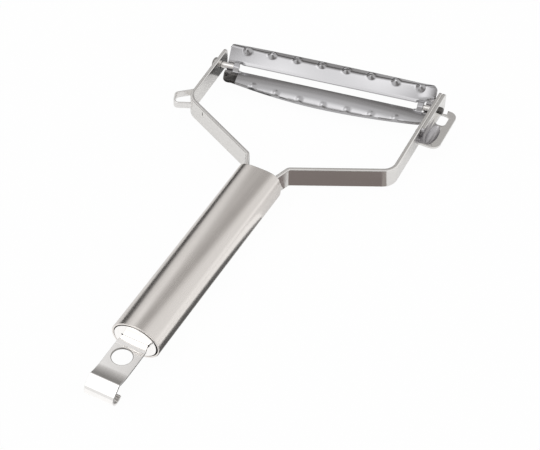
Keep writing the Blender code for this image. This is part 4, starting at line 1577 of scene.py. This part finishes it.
@dataclass(frozen=True)
class Card:
    """A four-sided card near the floor that only the metal's reflections see, and only from its front.

    Its corners run anticlockwise seen from its front, in millimetres on the working axes; the first two and
    the last two have a height over the floor of their own.
    """

    name: str
    level: float
    corners: tuple[Point, ...]
    heights: Point = (0.2, 0.2)
    tint: Triple = WHITE

    def build(self) -> None:
        """Lays the card out and gives it its brightness."""
        card_mesh = bpy.data.meshes.new(self.name)
        heights = (self.heights[0], self.heights[0], self.heights[1], self.heights[1])
        points = [Vector((x, y, height)) * MM for (x, y), height in zip(self.corners, heights)]
        card_mesh.from_pydata([point + flat(ORIGIN.xy) for point in points], [], [(0, 1, 2, 3)])
        card = bpy.data.objects.new(self.name, card_mesh)
        bpy.context.scene.collection.objects.link(card)
        material = bpy.data.materials.new(self.name)
        tree = Tree(material)
        color = (*(self.level * channel for channel in self.tint), 1)
        tree.show_front(tree.node("ShaderNodeEmission", None, {"Color": color}))
        card_mesh.materials.append(material)
        card.visible_camera = False
        card.visible_diffuse = False
        card.visible_shadow = False


@dataclass(frozen=True)
class Studio:
    """The plain pale floor, the soft surround, the cards and the camera."""

    base_level: float = 0.92
    dim_tint: Triple = (1.0, 0.96, 0.93)
    floor_size: float = 8.0
    floor_tone: float = 0.9
    seen_share: float = 0.97
    mirrored_share: float = 0.42
    patches: tuple[Patch, ...] = (
        Patch((-0.35, -0.45, 0.82), (0.30, 0.34), 1.95, 0.20, 0.17),
        Patch((0.45, -0.80, 0.42), (0.35, 0.35), 0.3, 0.20),
        Patch((-0.25, 1.0, 0.15), (0.30, 0.62), 0.2, 0.20, 0.40),
        Patch((-0.78, -0.25, 0.45), (0.35, 0.35), 0.35, 0.15),
        Patch((-0.77, 0.60, 0.19), (0.42, 0.22), 0.05, 0.05),
        Patch((-0.48, 0.55, 0.68), (0.11, 0.14), 1.05, 0.04, 0.05),
        Patch((-0.11, 0.52, 0.845), (0.15, 0.16), 0.40, 0.09, 0.14),
        Patch((0.82, 0.56, 0.02), (0.30, 0.26), 1.15, 0.12),
    )
    cards: tuple[Card, ...] = (
        Card("handle_flag", 0.12, ((10.5, -97), (33, -90), (12.9, -12), (11, -12))),
        Card("side_card", 1.12, ((34, -92), (160, -120), (160, 50), (13.4, -11))),
        Card("arm_flag", 0.2, ((13.35, 1.52), (48.55, 20.48), (46.04, 25.15), (10.84, 6.19)), (11, 0.2),
             (1.1, 0.95, 0.91)),
        Card("arm_end_flag", 0.31, ((48.55, 20.48), (51.63, 22.14), (49.12, 26.81), (46.04, 25.15)),
             (11, 0.2), (1.07, 0.98, 0.93)),
        Card("inner_flag", 0.15, ((-45, 30), (-9, 12), (-2, 26), (-38, 44))),
        Card("pin_flag", 0.12, ((-48, 57), (-41, 57), (-41, 73), (-48, 73))),
        Card("hook_flag", 0.12, ((8.3, -130), (20, -130), (20, -96), (8.3, -96))),
        Card("hole_flag", 0.08, ((-6, -115), (3.2, -115), (2.2, -107), (-2, -100.5)), (0.3, 0.3)),
        Card("foot_card", 1.12, ((-40, -190), (8, -190), (9.5, -99.8), (-18, -99.8))),
    )
    azimuth: float = math.radians(26.166)
    elevation: float = math.radians(46.344)
    roll: float = math.radians(2.28)
    distance: float = 700 * MM
    target: Point = mm(16.177, -20.330)
    lens: float = 114.227
    sensor: float = 36
    clip: Point = (10 * MM, 50)

    def build_camera(self) -> None:
        """Sets the camera at the picture's viewing angle."""
        back = Vector((math.sin(self.azimuth) * math.cos(self.elevation),
                       -math.cos(self.azimuth) * math.cos(self.elevation), math.sin(self.elevation)))
        right = AXIS_Z.cross(back).normalized()
        up = back.cross(right)
        right, up = (right * math.cos(self.roll) + up * math.sin(self.roll),
                     up * math.cos(self.roll) - right * math.sin(self.roll))
        camera = bpy.data.objects.new("camera", bpy.data.cameras.new("camera"))
        camera.data.lens = self.lens
        camera.data.sensor_width = self.sensor
        camera.data.sensor_fit = "HORIZONTAL"
        camera.data.clip_start, camera.data.clip_end = self.clip
        camera.matrix_world = (Matrix.Translation(ORIGIN + flat(self.target) + back * self.distance)
                               @ Matrix((right, up, back)).transposed().to_4x4())
        bpy.context.scene.collection.objects.link(camera)
        bpy.context.scene.camera = camera

    def build_surround(self) -> None:
        """Paints the world: white behind the object, and a soft studio in what the metal reflects."""
        world = bpy.data.worlds.new("studio")
        bpy.context.scene.world = world
        tree = Tree(world)
        direction = tree.node("ShaderNodeTexCoord").outputs["Generated"]
        level: Number = self.base_level
        for patch in self.patches:
            level = patch.paint(tree, direction, level)
        camera = tree.value("ShaderNodeLightPath", output="Is Camera Ray")
        level = camera * (1.0 - level) + level
        tint = tree.mix(level, self.dim_tint, WHITE)
        lit = tree.value("ShaderNodeVectorMath", {"operation": "SCALE"}, {0: tint, "Scale": level})
        glow = tree.node("ShaderNodeBackground", None, {"Color": lit})
        tree.node("ShaderNodeOutputWorld", None, {"Surface": glow.outputs[0]})

    def build_floor(self) -> None:
        """Lays the white floor, which keeps a faint shadow and shows only from above."""
        bpy.ops.mesh.primitive_plane_add(size=self.floor_size, location=(0, 0, 0))
        floor = bpy.context.active_object
        floor.name = "floor"
        material = bpy.data.materials.new("floor_white")
        tree = Tree(material)
        rays = tree.node("ShaderNodeLightPath").outputs
        mirrored = Value(tree, rays["Is Glossy Ray"]).larger(Value(tree, rays["Is Transmission Ray"]))
        white = Value(tree, rays["Is Camera Ray"]) * self.seen_share + mirrored * self.mirrored_share
        matt = tree.node("ShaderNodeBsdfDiffuse", None, {"Color": (*[self.floor_tone] * 3, 1)})
        glow = tree.node("ShaderNodeEmission", None, {"Color": (*WHITE, 1)})
        tree.show_front(tree.node("ShaderNodeMixShader", None,
                                  {0: white, 1: matt.outputs[0], 2: glow.outputs[0]}))
        floor.data.materials.append(material)

    def build(self) -> None:
        """Builds the whole studio."""
        bpy.context.scene.view_settings.view_transform = "Standard"
        self.build_camera()
        self.build_surround()
        self.build_floor()
        for card in self.cards:
            card.build()


# An edge factor below 1 paints shade lines along rounded edges, as on the strap, blade and plates; above 1,
# as on the tube's rims, a highlight.
TUBE_STEEL = Steel("brushed_tube", "steel_brushed", (0.73, 0.695, 0.665), 0.25, (2600.0, 14.0, 2600.0),
                   edge_wear_and_shade=1.25)
STRAP_STEEL = Steel("satin_strap", "steel_strap", (0.82, 0.805, 0.785), 0.2, (30.0, 30.0, 2600.0),
                    edge_share=0.75, edge_wear_and_shade=0.5, edge_width=0.3 * MM)
# Darker cut-edge finish: the texture is the cut edge's own, the darker colour is painted shade.
SHEARED_AND_SHADED_STEEL = Steel("sheared_edge_and_painted_shade", "steel_strap", (0.72, 0.705, 0.69), 0.28, (400.0, 400.0, 60.0),
                      line_tone=0.3, edge_share=0.75, edge_wear_and_shade=0.55, edge_width=0.3 * MM)
# Near black finish: painted shadow on the lugs below the scoop's plate and on the right pin's head.
LUG_SHADOW_STEEL = Steel("painted_lug_shadow", "steel_polished", (0.12, 0.115, 0.11), 0.35, (400.0, 400.0, 400.0))
BLADE_STEEL = Steel("stamped_blade", "steel_blade", (0.445, 0.44, 0.45), 0.17, (14.0, 2400.0, 30.0),
                    turn=Wishbone().slant(), edge_share=0.55, edge_wear_and_shade=0.4, edge_width=0.2 * MM)
# Dark blade finish: painted shade on the near flange's left end.
BLADE_END_SHADE_STEEL = Steel("blade_end_painted_shade", "steel_blade", (0.19, 0.182, 0.178), 0.25, (60.0, 500.0, 60.0),
                       turn=Wishbone().slant(), line_tone=1.2, contrast=0.7, edge_wear_and_shade=1.4)
PLATE_STEEL = Steel("polished_plate", "steel_polished", (0.86, 0.845, 0.83), 0.16, (1800.0, 20.0, 20.0),
                    edge_wear_and_shade=0.5)
# Rougher pressed finish for the bowl and the strip beside it; its darker colour is painted shade in the dish.
BOWL_FINISH_AND_SHADE_STEEL = Steel("pressed_bowl_and_painted_shade", "steel_polished", (0.44, 0.43, 0.44), 0.34, (1100.0, 90.0, 1100.0),
                   line_tone=0.6, contrast=0.25, line_depth=0.4, edge_share=0.2)
SCOOP_STEEL = Steel("polished_scoop", "steel_polished", (0.84, 0.83, 0.81), 0.17, (30.0, 30.0, 1800.0),
                    edge_wear_and_shade=0.75)
PIN_STEEL = Steel("turned_pin", "steel_polished", (0.74, 0.72, 0.70), 0.22, (600.0, 600.0, 600.0))
# Dark peened finish of the left pin's head; on the hanger's hole wall it is painted shade.
PEENED_AND_SHADED_STEEL = Steel("peened_head_and_painted_shade", "steel_polished", (0.36, 0.345, 0.33), 0.3, (900.0, 900.0, 900.0),
                   line_tone=0.5, contrast=0.4, edge_wear_and_shade=1.3)


def main() -> None:
    """Builds the pieces in order, reports them and sets up the studio."""
    wishbone, handle, hanger = Wishbone(), Handle(), Hanger()
    blade, loop = Blade(wishbone), EyeLoop(wishbone)
    scoop = EyeScoop(wishbone, blade)
    left_pin = PivotPin(wishbone, blade, Side.LEFT, "pivot_pin_left")
    right_pin = PivotPin(wishbone, blade, Side.RIGHT, "pivot_pin_right",
                         outer_layers=scoop.seat_gap + scoop.plate_thickness,
                         head_radius=1.9 * MM, head_height=1.5 * MM, dome_radius=0.9 * MM)
    pieces = [
        handle.build_tube(TUBE_STEEL),
        handle.build_end_cap(PLATE_STEEL, hanger),
        handle.build_neck_plate(PLATE_STEEL, wishbone),
        wishbone.build(STRAP_STEEL, SHEARED_AND_SHADED_STEEL, [*loop.pockets(), scoop.tab_room()]),
        hanger.build(PLATE_STEEL, SHEARED_AND_SHADED_STEEL, PEENED_AND_SHADED_STEEL, handle),
        blade.build(BLADE_STEEL, BLADE_END_SHADE_STEEL),
        loop.build(PLATE_STEEL),
        scoop.build(SCOOP_STEEL, LUG_SHADOW_STEEL, BOWL_FINISH_AND_SHADE_STEEL),
        left_pin.build(PIN_STEEL, PEENED_AND_SHADED_STEEL),
        # The right pin's head is painted near black: painted shadow in the recess round it.
        right_pin.build(PIN_STEEL, LUG_SHADOW_STEEL),
    ]
    for piece in pieces:
        log.info("%s: %d faces", piece.name, len(piece.data.polygons))
    Studio().build()


if __name__ == "__main__":
    logging.basicConfig(level=logging.INFO, format="%(name)s: %(message)s")
    main()
